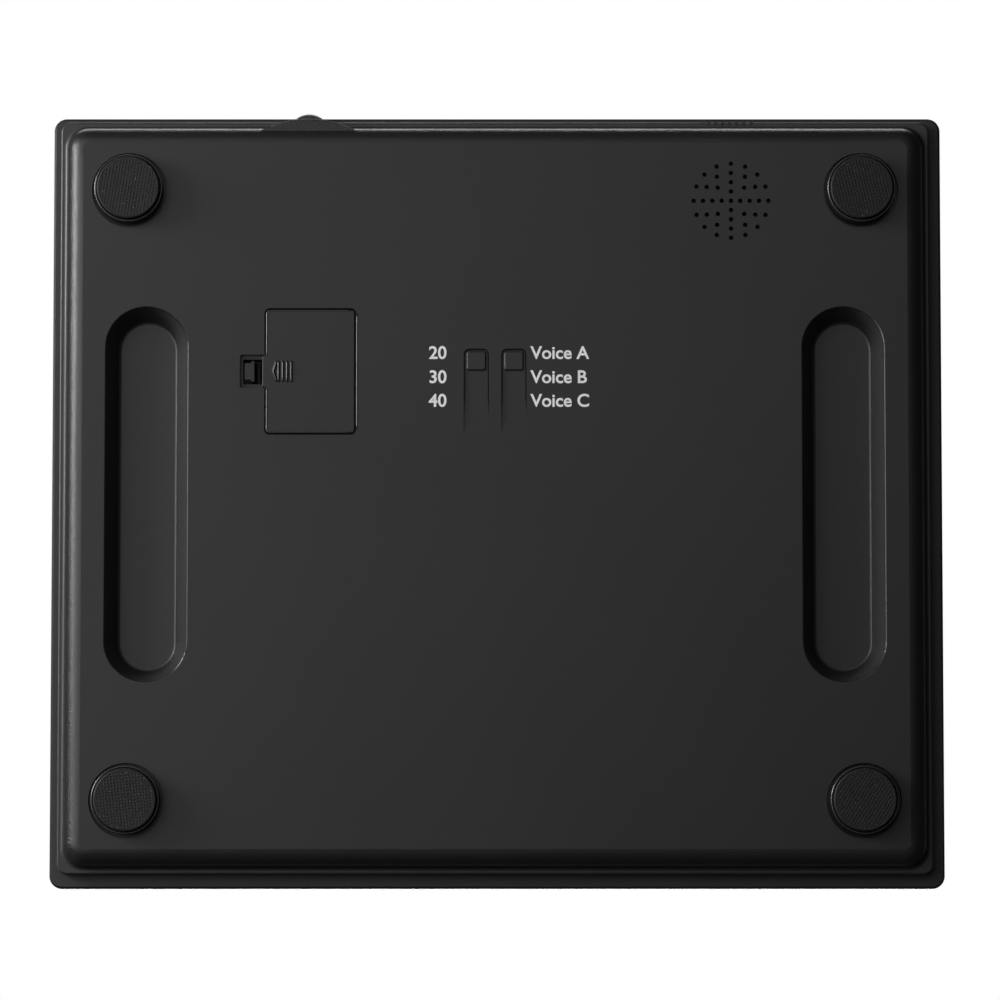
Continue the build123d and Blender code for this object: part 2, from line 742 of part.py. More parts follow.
# Dimpled contact plates at the nubs
with BuildPart() as battery_end_plates:
    for x, facing in battery_points:
        wall = Plane((x, bay_y + facing * bay_length / 2, battery_z), (1, 0, 0), (0, -facing, 0))
        with BuildSketch(wall):
            Rectangle(contact_width, contact_width)
        extrude(amount=contact_thick)
        with BuildSketch(wall.offset(contact_thick)):
            Circle(contact_dimple / 2)
        with BuildSketch(wall.offset(contact_room)):
            Circle(battery_nub_diameter / 2)
        loft()
battery_end_plates.part.label = "battery_end_plates"
export_step(battery_end_plates.part, "parts/battery_end_plates.step")

# Bowed leaf contacts at the tails
with BuildPart() as battery_leaf_springs:
    for x, facing in battery_points:
        wall = Plane((x, bay_y - facing * bay_length / 2, battery_z), (0, 0, 1), (1, 0, 0))
        with BuildSketch(wall):
            with BuildLine():
                ThreePointArc(
                    (-contact_width / 2, -facing * contact_thick),
                    (0, -facing * (contact_room - contact_thick / 2 - lead_solder_gap)),
                    (contact_width / 2, -facing * contact_thick),
                )
            trace(line_width=contact_thick)
        extrude(amount=leaf_width / 2, both=True)
battery_leaf_springs.part.label = "battery_leaf_springs"
export_step(battery_leaf_springs.part, "parts/battery_leaf_springs.step")

# Feet: a cup that hangs on the load cell's tongue, flanged behind the floor, and a rubber pad let into it
cup_floor_z = cup_lip_z + pad_inset
cup_rim_z = cell_z - 2 * foot_travel
for name, (x, y) in foot_points.items():
    with BuildPart() as foot_cup:
        with BuildSketch(Plane.XY.offset(cup_lip_z)):
            with Locations((x, y)):
                Circle(cup_diameter / 2)
        extrude(amount=cup_rim_z - cup_lip_z)
        with BuildSketch(Plane.XY.offset(cup_rim_z - cup_flange_thick)):
            with Locations((x, y)):
                Circle(cup_diameter / 2 + foot_gap + cup_flange)
        extrude(amount=cup_flange_thick)
        with BuildSketch(Plane.XY.offset(cup_lip_z)):
            with Locations((x, y)):
                Circle(pad_diameter / 2 + pad_gap)
        extrude(amount=pad_inset, mode=Mode.SUBTRACT)
        with BuildSketch(Plane.XY.offset(cup_floor_z + cup_wall)):
            with Locations((x, y)):
                Circle(cup_diameter / 2 - cup_wall)
        extrude(amount=cup_rim_z - cup_floor_z - cup_wall, mode=Mode.SUBTRACT)
        with BuildSketch(Plane.XY.offset(cup_floor_z + cup_wall)):
            with Locations((x, y)):
                Circle(stud_boss_diameter / 2)
        extrude(amount=cell_z - cup_floor_z - cup_wall)
        with BuildSketch(Plane.XY.offset(cell_z)):
            with Locations((x, y)):
                Circle(stud_diameter / 2)
        extrude(amount=cell_thick + screw_head_height)
    foot_cup.part.label = f"foot_cup_{name}"
    export_step(foot_cup.part, f"parts/foot_cup_{name}.step")

    with BuildPart() as foot_pad:
        with BuildSketch(Plane.XY):
            with Locations((x, y)):
                Circle(pad_diameter / 2)
        extrude(amount=cup_floor_z)
        fillet(foot_pad.faces().sort_by(Axis.Z)[0].edges(), pad_round)
    foot_pad.part.label = f"foot_pad_{name}"
    export_step(foot_pad.part, f"parts/foot_pad_{name}.step")

    # Load cell: a steel plate cut round a tongue that bends under the foot's stud
    with BuildPart() as load_cell:
        with BuildSketch(Plane.XY.offset(cell_z)):
            with Locations((x, y)):
                RectangleRounded(cell_size, cell_size, cell_corner)
                Rectangle(cell_cut_width, cell_cut_length, mode=Mode.SUBTRACT)
            with Locations((x, y + cell_slot / 2)):
                Rectangle(cell_cut_width - 2 * cell_slot, cell_cut_length - cell_slot)
            with Locations((x, y)):
                Circle(stud_diameter / 2 + stud_gap, mode=Mode.SUBTRACT)
        extrude(amount=cell_thick)
    load_cell.part.label = f"load_cell_{name}"
    export_step(load_cell.part, f"parts/load_cell_{name}.step")

    # Carrier: a frame between the cell's rim and the platform, screwed to the tray by two ears
    sx, sy = corner_signs[name]
    with BuildPart() as carrier:
        with BuildSketch(Plane.XY.offset(carrier_z)):
            with Locations((x, y)):
                RectangleRounded(carrier_size, carrier_size, cell_corner)
                Rectangle(carrier_window, carrier_window, mode=Mode.SUBTRACT)
        extrude(amount=print_z - carrier_z)
        for ear_x, ear_y in (
            (x - sx * carrier_boss_offset, y),
            (x, y - sy * carrier_boss_offset),
        ):
            with BuildSketch(Plane.XY.offset(carrier_z)):
                with Locations((ear_x, ear_y)):
                    Circle(carrier_ear_radius)
                with Locations(((x + ear_x) / 2, (y + ear_y) / 2)):
                    Rectangle(
                        max(abs(x - ear_x), 2 * carrier_ear_radius),
                        max(abs(y - ear_y), 2 * carrier_ear_radius),
                    )
                with Locations((x, y)):
                    Rectangle(carrier_window, carrier_window, mode=Mode.SUBTRACT)
                with Locations((ear_x, ear_y)):
                    Circle(pilot_diameter / 2, mode=Mode.SUBTRACT)
            extrude(amount=carrier_ear_thick)
    carrier.part.label = f"load_cell_carrier_{name}"
    export_step(carrier.part, f"parts/load_cell_carrier_{name}.step")

# Strain gauges on the root of each tongue
with BuildPart() as strain_gauges:
    with BuildSketch(Plane.XY.offset(carrier_z)):
        for x, y in foot_points.values():
            with Locations((x, y + (cell_cut_length - gauge_length) / 2)):
                Rectangle(gauge_width, gauge_length)
    extrude(amount=gauge_thick)
strain_gauges.part.label = "strain_gauges"
export_step(strain_gauges.part, "parts/strain_gauges.step")


def screw_group(points, seat_z, length):
    with BuildPart() as screws:
        with BuildSketch(Plane.XY.offset(seat_z)):
            with Locations(*points):
                Circle(screw_head_diameter / 2)
        extrude(amount=screw_head_height)
        with BuildSketch(Plane.XY.offset(seat_z - length)):
            with Locations(*points):
                Circle(screw_diameter / 2)
        extrude(amount=length)
    return screws


def grid_points(x, y, pitch_x, pitch_y):
    return [(x + i * pitch_x / 2, y + j * pitch_y / 2) for i in (-1, 1) for j in (-1, 1)]


carrier_screws = screw_group(carrier_boss_points, carrier_z + carrier_ear_thick, screw_length)
carrier_screws.part.label = "carrier_screws"
export_step(carrier_screws.part, "parts/carrier_screws.step")

# Main board with its chips, and the display held over it in a holder
board_holes = grid_points(0, display_y, board_boss_pitch_x, board_boss_pitch_y)
with BuildPart() as main_board:
    with BuildSketch(Plane.XY.offset(board_z)):
        with Locations((0, display_y)):
            Rectangle(board_width, board_depth)
        with Locations(*board_holes):
            Circle(pilot_diameter / 2, mode=Mode.SUBTRACT)
    extrude(amount=board_thick)
main_board.part.label = "main_board"
export_step(main_board.part, "parts/main_board.step")

with BuildPart() as board_chips:
    for index, (chip_width, chip_depth, chip_thick) in enumerate(chip_sizes):
        with BuildSketch(Plane.XY.offset(board_z)):
            with Locations(((index - 1) * chip_pitch, display_y)):
                Rectangle(chip_width, chip_depth)
        extrude(amount=-chip_thick)
board_chips.part.label = "board_chips"
export_step(board_chips.part, "parts/board_chips.step")

board_screws = screw_group(board_holes, board_top, screw_length)
board_screws.part.label = "board_screws"
export_step(board_screws.part, "parts/board_screws.step")

with BuildPart() as lcd_holder:
    with BuildSketch(Plane.XY.offset(board_top)):
        with Locations((0, display_y)):
            Rectangle(lcd_width + 2 * holder_wall, lcd_depth + 2 * holder_wall)
            Rectangle(lcd_width - 2 * lcd_lip, lcd_depth - 2 * lcd_lip, mode=Mode.SUBTRACT)
    extrude(amount=lcd_top - board_top)
    with BuildSketch(Plane.XY.offset(lcd_z)):
        with Locations((0, display_y)):
            Rectangle(lcd_width + 2 * holder_gap, lcd_depth + 2 * holder_gap)
    extrude(amount=lcd_thick, mode=Mode.SUBTRACT)
lcd_holder.part.label = "lcd_holder"
export_step(lcd_holder.part, "parts/lcd_holder.step")

with BuildPart() as lcd_panel:
    with BuildSketch(Plane.XY.offset(lcd_z)):
        with Locations((0, display_y)):
            Rectangle(lcd_width, lcd_depth)
    extrude(amount=lcd_thick)
lcd_panel.part.label = "lcd_panel"
export_step(lcd_panel.part, "parts/lcd_panel.step")

with BuildPart() as backlight_plate:
    backlight_margin = lcd_lip + holder_gap
    with BuildSketch(Plane.XY.offset(board_top)):
        with Locations((0, display_y)):
            Rectangle(lcd_width - 2 * backlight_margin, lcd_depth - 2 * backlight_margin)
    extrude(amount=backlight_thick)
backlight_plate.part.label = "backlight_plate"
export_step(backlight_plate.part, "parts/backlight_plate.step")

# Speaker: gasket, pressed frame, paper cone and magnet, all turned about one axis
speaker_axis = Axis((speaker_x, speaker_y, 0), (0, 0, 1))
speaker_plane = Plane((speaker_x, speaker_y, 0), (1, 0, 0), (0, -1, 0))
flange_inner = speaker_diameter / 2 - speaker_gasket_width
frame_top = speaker_flange_top + basket_height
with BuildPart() as speaker_gasket:
    with BuildSketch(Plane.XY.offset(floor_top)):
        with Locations((speaker_x, speaker_y)):
            Circle(speaker_diameter / 2)
            Circle(flange_inner, mode=Mode.SUBTRACT)
    extrude(amount=speaker_gasket_thick)
speaker_gasket.part.label = "speaker_gasket"
export_step(speaker_gasket.part, "parts/speaker_gasket.step")

with BuildPart() as speaker_frame:
    with BuildSketch(speaker_plane):
        with BuildLine():
            Polyline(
                (flange_inner, speaker_flange_z),
                (speaker_diameter / 2, speaker_flange_z),
                (speaker_diameter / 2, speaker_flange_top),
                (flange_inner + basket_wall, speaker_flange_top),
                (basket_diameter / 2, frame_top),
                (0, frame_top),
                (0, frame_top - basket_wall),
                (basket_diameter / 2 - basket_wall, frame_top - basket_wall),
                (flange_inner, speaker_flange_z + basket_wall / 2),
                close=True,
            )
        make_face()
    revolve(axis=speaker_axis)
speaker_frame.part.label = "speaker_frame"
export_step(speaker_frame.part, "parts/speaker_frame.step")

with BuildPart() as speaker_magnet:
    with BuildSketch(Plane.XY.offset(frame_top)):
        with Locations((speaker_x, speaker_y)):
            Circle(magnet_diameter / 2)
    extrude(amount=magnet_height)
    chamfer(speaker_magnet.faces().sort_by(Axis.Z)[-1].edges(), cone_gap)
speaker_magnet.part.label = "speaker_magnet"
export_step(speaker_magnet.part, "parts/speaker_magnet.step")

with BuildPart() as speaker_cone:
    cone_low = speaker_flange_z
    cone_high = speaker_flange_top + basket_height / 2 - cone_gap
    with BuildSketch(speaker_plane):
        with BuildLine():
            Polyline(
                (flange_inner, cone_low),
                (flange_inner, cone_low + cone_thick),
                (flange_inner - cone_gap, cone_low + cone_thick),
                (cone_cap_diameter / 2, cone_high),
                (0, cone_high - cone_gap),
                (0, cone_high - cone_gap - cone_thick),
                (cone_cap_diameter / 2, cone_high - cone_thick),
                (flange_inner - cone_gap, cone_low),
                close=True,
            )
        make_face()
    revolve(axis=speaker_axis)
speaker_cone.part.label = "speaker_cone"
export_step(speaker_cone.part, "parts/speaker_cone.step")

# Volume control: a flat pot with a pivot pin, and the knurled wheel that turns on it
with BuildPart() as volume_pot:
    with BuildSketch(Plane.XY.offset(ear_top)):
        with Locations((wheel_x, wheel_y)):
            Circle(pot_diameter / 2)
    extrude(amount=pot_thick)
    with BuildSketch(Plane.XY.offset(ear_top + pot_thick)):
        with Locations((wheel_x, wheel_y)):
            Circle(pin_diameter / 2)
    extrude(amount=wheel_gap + wheel_thick - pot_thick)
volume_pot.part.label = "volume_pot"
export_step(volume_pot.part, "parts/volume_pot.step")

with BuildPart() as volume_wheel:
    knurl = [
        (
            wheel_x + (wheel_radius - tooth_depth * (k % 2)) * cos(pi * k / wheel_teeth),
            wheel_y + (wheel_radius - tooth_depth * (k % 2)) * sin(pi * k / wheel_teeth),
        )
        for k in range(2 * wheel_teeth)
    ]
    with BuildSketch(Plane.XY.offset(wheel_z)):
        with BuildLine():
            Polyline(*knurl, close=True)
        make_face()
    extrude(amount=wheel_thick)
    with BuildSketch(Plane.XY.offset(wheel_z)):
        with Locations((wheel_x, wheel_y)):
            Circle(pot_diameter / 2 + pot_room)
    extrude(amount=pot_thick, mode=Mode.SUBTRACT)
    with BuildSketch(Plane.XY.offset(wheel_z)):
        with Locations((wheel_x, wheel_y)):
            Circle(pin_diameter / 2 + pin_play)
    extrude(amount=wheel_thick, mode=Mode.SUBTRACT)
volume_wheel.part.label = "volume_wheel"
export_step(volume_wheel.part, "parts/volume_wheel.step")

# Slide switches: each cap stands on a strip that covers its window, with a bowed wiper behind
for name, x in switch_points.items():
    with BuildPart() as slider:
        with BuildSketch(Plane.XY.offset(strip_z)):
            with Locations((x, strip_rest_y)):
                Rectangle(strip_width, strip_length)
        extrude(amount=strip_thick)
        with BuildSketch(Plane.XY.offset(floor_z - cap_proud)):
            with Locations((x, cap_rest_y)):
                RectangleRounded(cap_width, cap_length, cap_corner)
        extrude(amount=strip_z - floor_z + cap_proud)
        chamfer(slider.faces().sort_by(Axis.Z)[0].edges(), cap_bevel)
    slider.part.label = f"{name}_slider"
    export_step(slider.part, f"parts/{name}_slider.step")

    with BuildPart() as wiper:
        with BuildSketch(Plane.YZ.offset(x)):
            with BuildLine():
                ThreePointArc(
                    (cap_rest_y - wiper_length / 2, strip_top + wiper_thick / 2),
                    (cap_rest_y, switch_board_z - slide_gap - wiper_thick / 2),
                    (cap_rest_y + wiper_length / 2, strip_top + wiper_thick / 2),
                )
            trace(line_width=wiper_thick)
        extrude(amount=wiper_width / 2, both=True)
    wiper.part.label = f"{name}_wiper"
    export_step(wiper.part, f"parts/{name}_wiper.step")

switch_holes = grid_points(0, bed_y, switch_boss_pitch_x, switch_boss_pitch_y)
with BuildPart() as switch_board:
    with BuildSketch(Plane.XY.offset(switch_board_z)):
        with Locations((0, bed_y)):
            Rectangle(switch_board_width, switch_board_depth)
        with Locations(*switch_holes):
            Circle(pilot_diameter / 2, mode=Mode.SUBTRACT)
    extrude(amount=board_thick)
switch_board.part.label = "switch_board"
export_step(switch_board.part, "parts/switch_board.step")

switch_board_screws = screw_group(
    switch_holes, switch_board_z + board_thick, board_thick + switch_board_lift - screw_spare
)
switch_board_screws.part.label = "switch_board_screws"
export_step(switch_board_screws.part, "parts/switch_board_screws.step")


def lead(points):
    runs = [Vector(*b) - Vector(*a) for a, b in zip(points, points[1:])]
    radii = [
        lead_bend_share * min(before.length, after.length) / tan(radians(before.get_angle(after)) / 2)
        for before, after in zip(runs, runs[1:])
    ]
    with BuildPart() as tube:
        with BuildLine():
            FilletPolyline(*points, radius=radii)
        with BuildSketch(Plane(points[0], z_dir=runs[0])):
            Circle(lead_diameter / 2)
        sweep()
    return tube


# Leads from the load cells: along the floor beside the grips to the main board
cell_mid = cell_z + cell_thick / 2
rise_z = floor_top + lead_rise
board_edge_x = board_width / 2
board_edge_y = display_y - board_depth / 2
grip_edge_x = grip_x - grip_width / 2
for name, (sx, sy) in corner_signs.items():
    if sy > 0:
        by_foot = [(foot_x - x, foot_y - y) for x, y in front_lead_by_foot]
        by_board = [(board_edge_x + x, board_edge_y + y) for x, y in front_lead_by_board]
        floor_points = by_foot[1:] + by_board[:-1]
    else:
        by_foot = [(foot_x - x, y - foot_y) for x, y in rear_lead_by_foot]
        by_grip = [(grip_edge_x - x, board_edge_y + y) for x, y in rear_lead_by_grip]
        by_board = [(board_edge_x + x, board_edge_y + y) for x, y in rear_lead_by_board]
        floor_points = by_foot[1:] + by_grip + by_board[:-1]
    board_x, board_y = by_board[-1]
    cell_lead = lead(
        [
            (sx * (foot_x - cell_size / 2), sy * (foot_y - cell_lead_start), cell_mid),
            (sx * by_foot[0][0], by_foot[0][1], cell_mid),
        ]
        + [(sx * x, y, lead_z) for x, y in floor_points]
        + [(sx * board_x, board_y, rise_z), (sx * board_x, board_y, board_z)]
    )
    cell_lead.part.label = f"load_cell_lead_{name}"
    export_step(cell_lead.part, f"parts/load_cell_lead_{name}.step")


def points_from(x, y, offsets):
    return [(x + dx, y + dy, floor_top + rise) for dx, dy, rise in offsets]


def up_to_board(points):
    return points + [(points[-1][0], points[-1][1], board_z)]


magnet_mid = frame_top + magnet_height / 2
speaker_lead = lead(
    [
        (speaker_x + magnet_diameter / 2 + lead_solder_gap, speaker_y, magnet_mid),
        (speaker_x + speaker_lead_run, speaker_y, magnet_mid),
    ]
    + up_to_board([(-board_edge_x - x, display_y + y, floor_top + z) for x, y, z in speaker_lead_by_board])
)
speaker_lead.part.label = "speaker_lead"
export_step(speaker_lead.part, "parts/speaker_lead.step")

bay_front = bay_y + bay_length / 2 + bay_wall
battery_lead = lead(
    [(bay_x, bay_front, battery_z), (bay_x, bay_front + battery_lead_run, battery_z)]
    + points_from(bay_x, bay_front, [battery_lead_by_bay])
    + up_to_board(points_from(board_edge_x, board_edge_y, battery_lead_by_board))
)
battery_lead.part.label = "battery_lead"
export_step(battery_lead.part, "parts/battery_lead.step")

volume_lead = lead(
    [(wheel_x, wheel_y + volume_lead_route[0][1], ear_top)]
    + up_to_board(points_from(wheel_x, wheel_y, volume_lead_route))
)
volume_lead.part.label = "volume_lead"
export_step(volume_lead.part, "parts/volume_lead.step")

switch_edge_y = bed_y + switch_board_depth / 2
switch_board_mid = switch_board_z + board_thick / 2
switch_lead_x, switch_lead_y = switch_lead_end[0], switch_edge_y + switch_lead_end[1]
switch_lead = lead(
    [
        (0, switch_edge_y, switch_board_mid),
        (0, switch_edge_y + switch_lead_run, switch_board_mid),
        (switch_lead_x, switch_lead_y, rise_z),
        (switch_lead_x, switch_lead_y, board_z),
    ]
)
switch_lead.part.label = "switch_lead"
export_step(switch_lead.part, "parts/switch_lead.step")
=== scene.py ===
import math

import bpy
import numpy as np
from mathutils import Matrix, Vector


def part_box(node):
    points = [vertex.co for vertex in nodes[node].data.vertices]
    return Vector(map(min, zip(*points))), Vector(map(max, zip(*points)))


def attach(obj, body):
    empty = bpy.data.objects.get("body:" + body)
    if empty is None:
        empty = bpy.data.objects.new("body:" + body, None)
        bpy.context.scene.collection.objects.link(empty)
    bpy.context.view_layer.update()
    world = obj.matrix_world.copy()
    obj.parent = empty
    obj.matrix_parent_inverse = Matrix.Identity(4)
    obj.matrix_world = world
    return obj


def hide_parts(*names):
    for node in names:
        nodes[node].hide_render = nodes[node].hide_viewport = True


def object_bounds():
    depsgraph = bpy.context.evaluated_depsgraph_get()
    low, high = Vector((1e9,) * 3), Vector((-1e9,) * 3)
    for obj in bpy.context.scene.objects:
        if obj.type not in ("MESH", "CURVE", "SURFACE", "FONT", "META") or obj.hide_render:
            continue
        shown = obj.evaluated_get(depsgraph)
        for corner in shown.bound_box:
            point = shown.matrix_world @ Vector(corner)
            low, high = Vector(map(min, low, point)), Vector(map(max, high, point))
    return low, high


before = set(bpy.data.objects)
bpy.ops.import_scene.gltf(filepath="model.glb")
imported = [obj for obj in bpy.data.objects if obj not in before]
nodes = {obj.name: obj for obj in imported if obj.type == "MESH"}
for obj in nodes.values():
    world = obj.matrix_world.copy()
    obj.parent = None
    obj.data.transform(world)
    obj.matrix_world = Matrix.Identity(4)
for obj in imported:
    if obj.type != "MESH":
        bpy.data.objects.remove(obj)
cadLow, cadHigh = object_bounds()
scene = bpy.context.scene
mm = 0.001  # sizes are written in millimetres and multiplied by mm
corners = ("front_left", "front_right", "rear_left", "rear_right")
print("frame loaded:", len(nodes), "nodes")


# Node helpers: one call makes a node, sets its plain inputs and links the rest

def addNode(tree, kind, inputs=None, **settings):
    node = tree.nodes.new(kind)
    for key, value in settings.items():
        setattr(node, key, value)
    for key, value in (inputs or {}).items():
        socket = node.inputs[key]
        if isinstance(value, bpy.types.NodeSocket):
            tree.links.new(value, socket)
        else:
            socket.default_value = value
    return node


def startMaterial(name, shift):
    # a material whose patterns all read the piece's own Object coordinates, moved by shift millimetres
    material = bpy.data.materials.new(name)
    material.use_nodes = True
    tree = material.node_tree
    coords = addNode(tree, "ShaderNodeTexCoord").outputs["Object"]
    place = addNode(tree, "ShaderNodeMapping", {"Vector": coords, "Location": [s * mm for s in shift]})
    return material, tree, tree.nodes["Principled BSDF"], place.outputs["Vector"]


def noise(tree, vector, size, detail=2.0):
    # cloud pattern whose features are about size millimetres
    node = addNode(tree, "ShaderNodeTexNoise", {"Vector": vector, "Scale": 1 / (size * mm), "Detail": detail})
    return node.outputs["Fac"]


def ranged(tree, value, low, high, fromLow=0.3, fromHigh=0.7):
    node = addNode(
        tree,
        "ShaderNodeMapRange",
        {"Value": value, "From Min": fromLow, "From Max": fromHigh, "To Min": low, "To Max": high},
    )
    return node.outputs["Result"]


def mixed(tree, factor, first, second):
    node = addNode(tree, "ShaderNodeMix", data_type="RGBA")
    for index, value in ((0, factor), (6, first), (7, second)):
        if isinstance(value, bpy.types.NodeSocket):
            tree.links.new(value, node.inputs[index])
        else:
            node.inputs[index].default_value = value
    return node.outputs[2]


def maths(tree, operation, first, second=0.0):
    node = addNode(tree, "ShaderNodeMath", operation=operation)
    for index, value in enumerate((first, second)):
        if isinstance(value, bpy.types.NodeSocket):
            tree.links.new(value, node.inputs[index])
        else:
            node.inputs[index].default_value = value
    return node.outputs["Value"]


def vectors(tree, operation, first, second=(0, 0, 0)):
    node = addNode(tree, "ShaderNodeVectorMath", {0: first, 1: second}, operation=operation)
    return node.outputs


def withinBox(tree, place, area):
    # 1 inside a box that lies alike on both sides of x = 0, fading to 0 over its last stretch
    spread = vectors(tree, "ABSOLUTE", vectors(tree, "MULTIPLY", place, (1, 0, 0))["Vector"])["Vector"]
    rest = vectors(tree, "MULTIPLY", place, (0, 1, 1))["Vector"]
    folded = vectors(tree, "ADD", spread, rest)["Vector"]
    middle, half = [[size * mm for size in area[key]] for key in ("middle", "half")]
    offset = vectors(tree, "ABSOLUTE", vectors(tree, "SUBTRACT", folded, middle)["Vector"])["Vector"]
    outside = vectors(tree, "SUBTRACT", offset, half)["Vector"]
    x, y, z = addNode(tree, "ShaderNodeSeparateXYZ", {"Vector": outside}).outputs
    worst = maths(tree, "MAXIMUM", maths(tree, "MAXIMUM", x, y), z)
    return ranged(tree, worst, 1.0, 0.0, -area["fade"] * mm, 0.0)


def opaque(colour, gain=1.0):
    return (colour[0] * gain, colour[1] * gain, colour[2] * gain, 1.0)


def finish(name, spec, shift=(0, 0, 0)):
    # one moulded, painted or metal surface: colour clouds, uneven gloss, and a fine raised grain
    material, tree, shader, place = startMaterial(name, shift)
    cloud = ranged(tree, noise(tree, place, spec["cloudSize"]), 0.0, 1.0)
    colour = mixed(
        tree,
        cloud,
        opaque(spec["colour"], 1 - spec["cloud"]),
        opaque(spec["colour"], 1 + spec["cloud"]),
    )
    if "speck" in spec:
        dots = ranged(tree, noise(tree, place, spec["speckSize"], 0.0), 0.0, 1.0, spec["speckFrom"], 1.0)
        colour = mixed(tree, dots, colour, opaque(spec["speck"]))
    # boxes of painted light: a lighter colour inside each box stands in for light the lamps leave short there
    for area in spec.get("paintedLightBoxes", ()):
        colour = mixed(tree, withinBox(tree, place, area), colour, opaque(area["colour"]))
    tree.links.new(colour, shader.inputs["Base Color"])
    stretch = place
    if "brush" in spec:
        brushed = addNode(tree, "ShaderNodeMapping", {"Vector": place, "Scale": spec["brush"]})
        stretch = brushed.outputs["Vector"]
    grain = noise(tree, stretch, spec["grain"], 3.0)
    gloss = ranged(tree, grain, spec["rough"] - spec["roughPlay"], spec["rough"] + spec["roughPlay"])
    tree.links.new(gloss, shader.inputs["Roughness"])
    strength = 1.0
    if "rounds" in spec:
        # the grain shows on the rounds between two heights, and is calmer on the flats below and above them
        height = addNode(tree, "ShaderNodeSeparateXYZ", {"Vector": place}).outputs["Z"]
        low, high, fade = [size * mm for size in spec["rounds"]]
        rising = ranged(tree, height, spec["calm"], 1.0, low, low + fade)
        strength = maths(tree, "MINIMUM", rising, ranged(tree, height, 1.0, spec["calm"], high - fade, high))
    bump = addNode(
        tree,
        "ShaderNodeBump",
        {"Height": grain, "Distance": spec["depth"] * mm, "Strength": strength},
    )
    tree.links.new(bump.outputs["Normal"], shader.inputs["Normal"])
    shader.inputs["Metallic"].default_value = spec.get("metal", 0.0)
    shader.inputs["Specular IOR Level"].default_value = spec.get("specular", 0.5)
    return material


def wear(nodeNames, material):
    for nodeName in nodeNames:
        slots = nodes[nodeName].data.materials
        slots.clear()
        slots.append(material)


# Mesh helpers

def meshPiece(name, points, faces, material, smooth=True):
    mesh = bpy.data.meshes.new(name)
    mesh.from_pydata(points, [], faces)
    mesh.polygons.foreach_set("use_smooth", np.full(len(mesh.polygons), smooth))
    mesh.materials.append(material)
    mesh.update()
    piece = bpy.data.objects.new(name, mesh)
    scene.collection.objects.link(piece)
    return piece


def spunFaces(rows, spokes):
    # quads between neighbouring rings, and a fan of triangles from each pole; vertex 0 is the first pole
    ring = np.arange(rows * spokes).reshape(rows, spokes) + 1
    nextRing = np.roll(ring, -1, axis=1)
    quads = np.stack([ring[:-1], nextRing[:-1], nextRing[1:], ring[1:]], axis=-1).reshape(-1, 4)
    firstFan = np.stack([np.zeros(spokes, int), nextRing[0], ring[0]], axis=-1)
    lastFan = np.stack([np.full(spokes, rows * spokes + 1), ring[-1], nextRing[-1]], axis=-1)
    return quads.tolist() + firstFan.tolist() + lastFan.tolist()


# Finishes of the shell, feet and controls

shellFinish = {
    "colour": (0.0162, 0.0159, 0.0158), "cloud": 0.06, "cloudSize": 70, "rough": 0.42, "roughPlay": 0.05,
    "grain": 0.7, "depth": 0.012, "specular": 0.45,
}
controlFinish = dict(shellFinish, colour=(0.0168, 0.0165, 0.0164), rough=0.36, grain=0.2, depth=0.004)
lipFinish = dict(controlFinish, rough=0.24, specular=0.8)
cupFinish = dict(shellFinish, colour=(0.0145, 0.0145, 0.0145), rough=0.34, grain=0.2, depth=0.004)
wheelFinish = dict(shellFinish, colour=(0.022, 0.022, 0.022), rough=0.48, grain=0.15, depth=0.008)
rubberFinish = {
    "colour": (0.0095, 0.0095, 0.0095), "cloud": 0.15, "cloudSize": 4, "rough": 0.6, "roughPlay": 0.08,
    "grain": 0.12, "depth": 0.01, "specular": 0.33,
    "speck": (0.16, 0.16, 0.155), "speckSize": 0.8, "speckFrom": 0.74,
}
printFinish = dict(shellFinish, colour=(0.021, 0.021, 0.0215), rough=0.45, grain=0.5, depth=0.002)

# the tray gets a lighter colour in its hand grips and at its rim: painted light, standing in for more light
# there than these lamps give
trayFinish = dict(shellFinish, rough=0.37, grain=0.8, depth=0.2, rounds=(8.55, 17.0, 1.6), calm=0.08, paintedLightBoxes=(
    {"middle": (136.2, 0, 17), "half": (18, 76, 8), "fade": 0.6, "colour": (0.027, 0.0266, 0.0265)},
    {"middle": (0, 0, 24), "half": (200, 200, 7), "fade": 1.0, "colour": (0.028, 0.0276, 0.0275)},
))
wear(["base_tray"], finish("trayPlastic", trayFinish))
wear(["battery_door"], finish("doorPlastic", shellFinish, (31, 17, 5)))
wear(["unit_switch_slider"], finish("unitSwitchPlastic", controlFinish, (3, 9, 1)))
wear(["language_switch_slider"], finish("languageSwitchPlastic", controlFinish, (13, 2, 7)))
wear(["volume_wheel"], finish("wheelPlastic", wheelFinish))
cupPlastic = finish("cupPlastic", cupFinish)
lipPlastic = finish("lipPlastic", lipFinish)
wear(["foot_cup_" + corner for corner in corners], cupPlastic)
wear(["back_print"], finish("blackPrint", printFinish))
padRubber = finish("padRubber", rubberFinish)
wear(["foot_pad_" + corner for corner in corners], padRubber)

# Glass: clear and smoked inside, ground dull and dark along its bevelled outline. The distance from the
# rectangle left when the corner round is taken off, |max(|p| - inner, 0)|, is the corner round at the outline
glassFinish = {
    "colour": (0.115, 0.12, 0.12), "ior": 1.52, "smudgeSize": 22, "rough": (0.015, 0.05), "corner": 5.0,
    "groundBand": 0.95, "groundColour": (0.02, 0.021, 0.021), "groundRough": 0.34, "groundBlend": 0.1,
}
glassLow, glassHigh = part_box("platform_glass")
glassMiddle = (glassLow + glassHigh) / 2
glassInner = (glassHigh - glassLow) / 2 - Vector((1, 1, 0)) * glassFinish["corner"] * mm
glassMaterial, tree, shader, place = startMaterial("smokedGlass", (0, 0, 0))
fromMiddle = vectors(tree, "ABSOLUTE", vectors(tree, "SUBTRACT", place, glassMiddle)["Vector"])["Vector"]
beyond = vectors(tree, "SUBTRACT", fromMiddle, glassInner)["Vector"]
reach = vectors(tree, "LENGTH", vectors(tree, "MAXIMUM", beyond)["Vector"])["Value"]
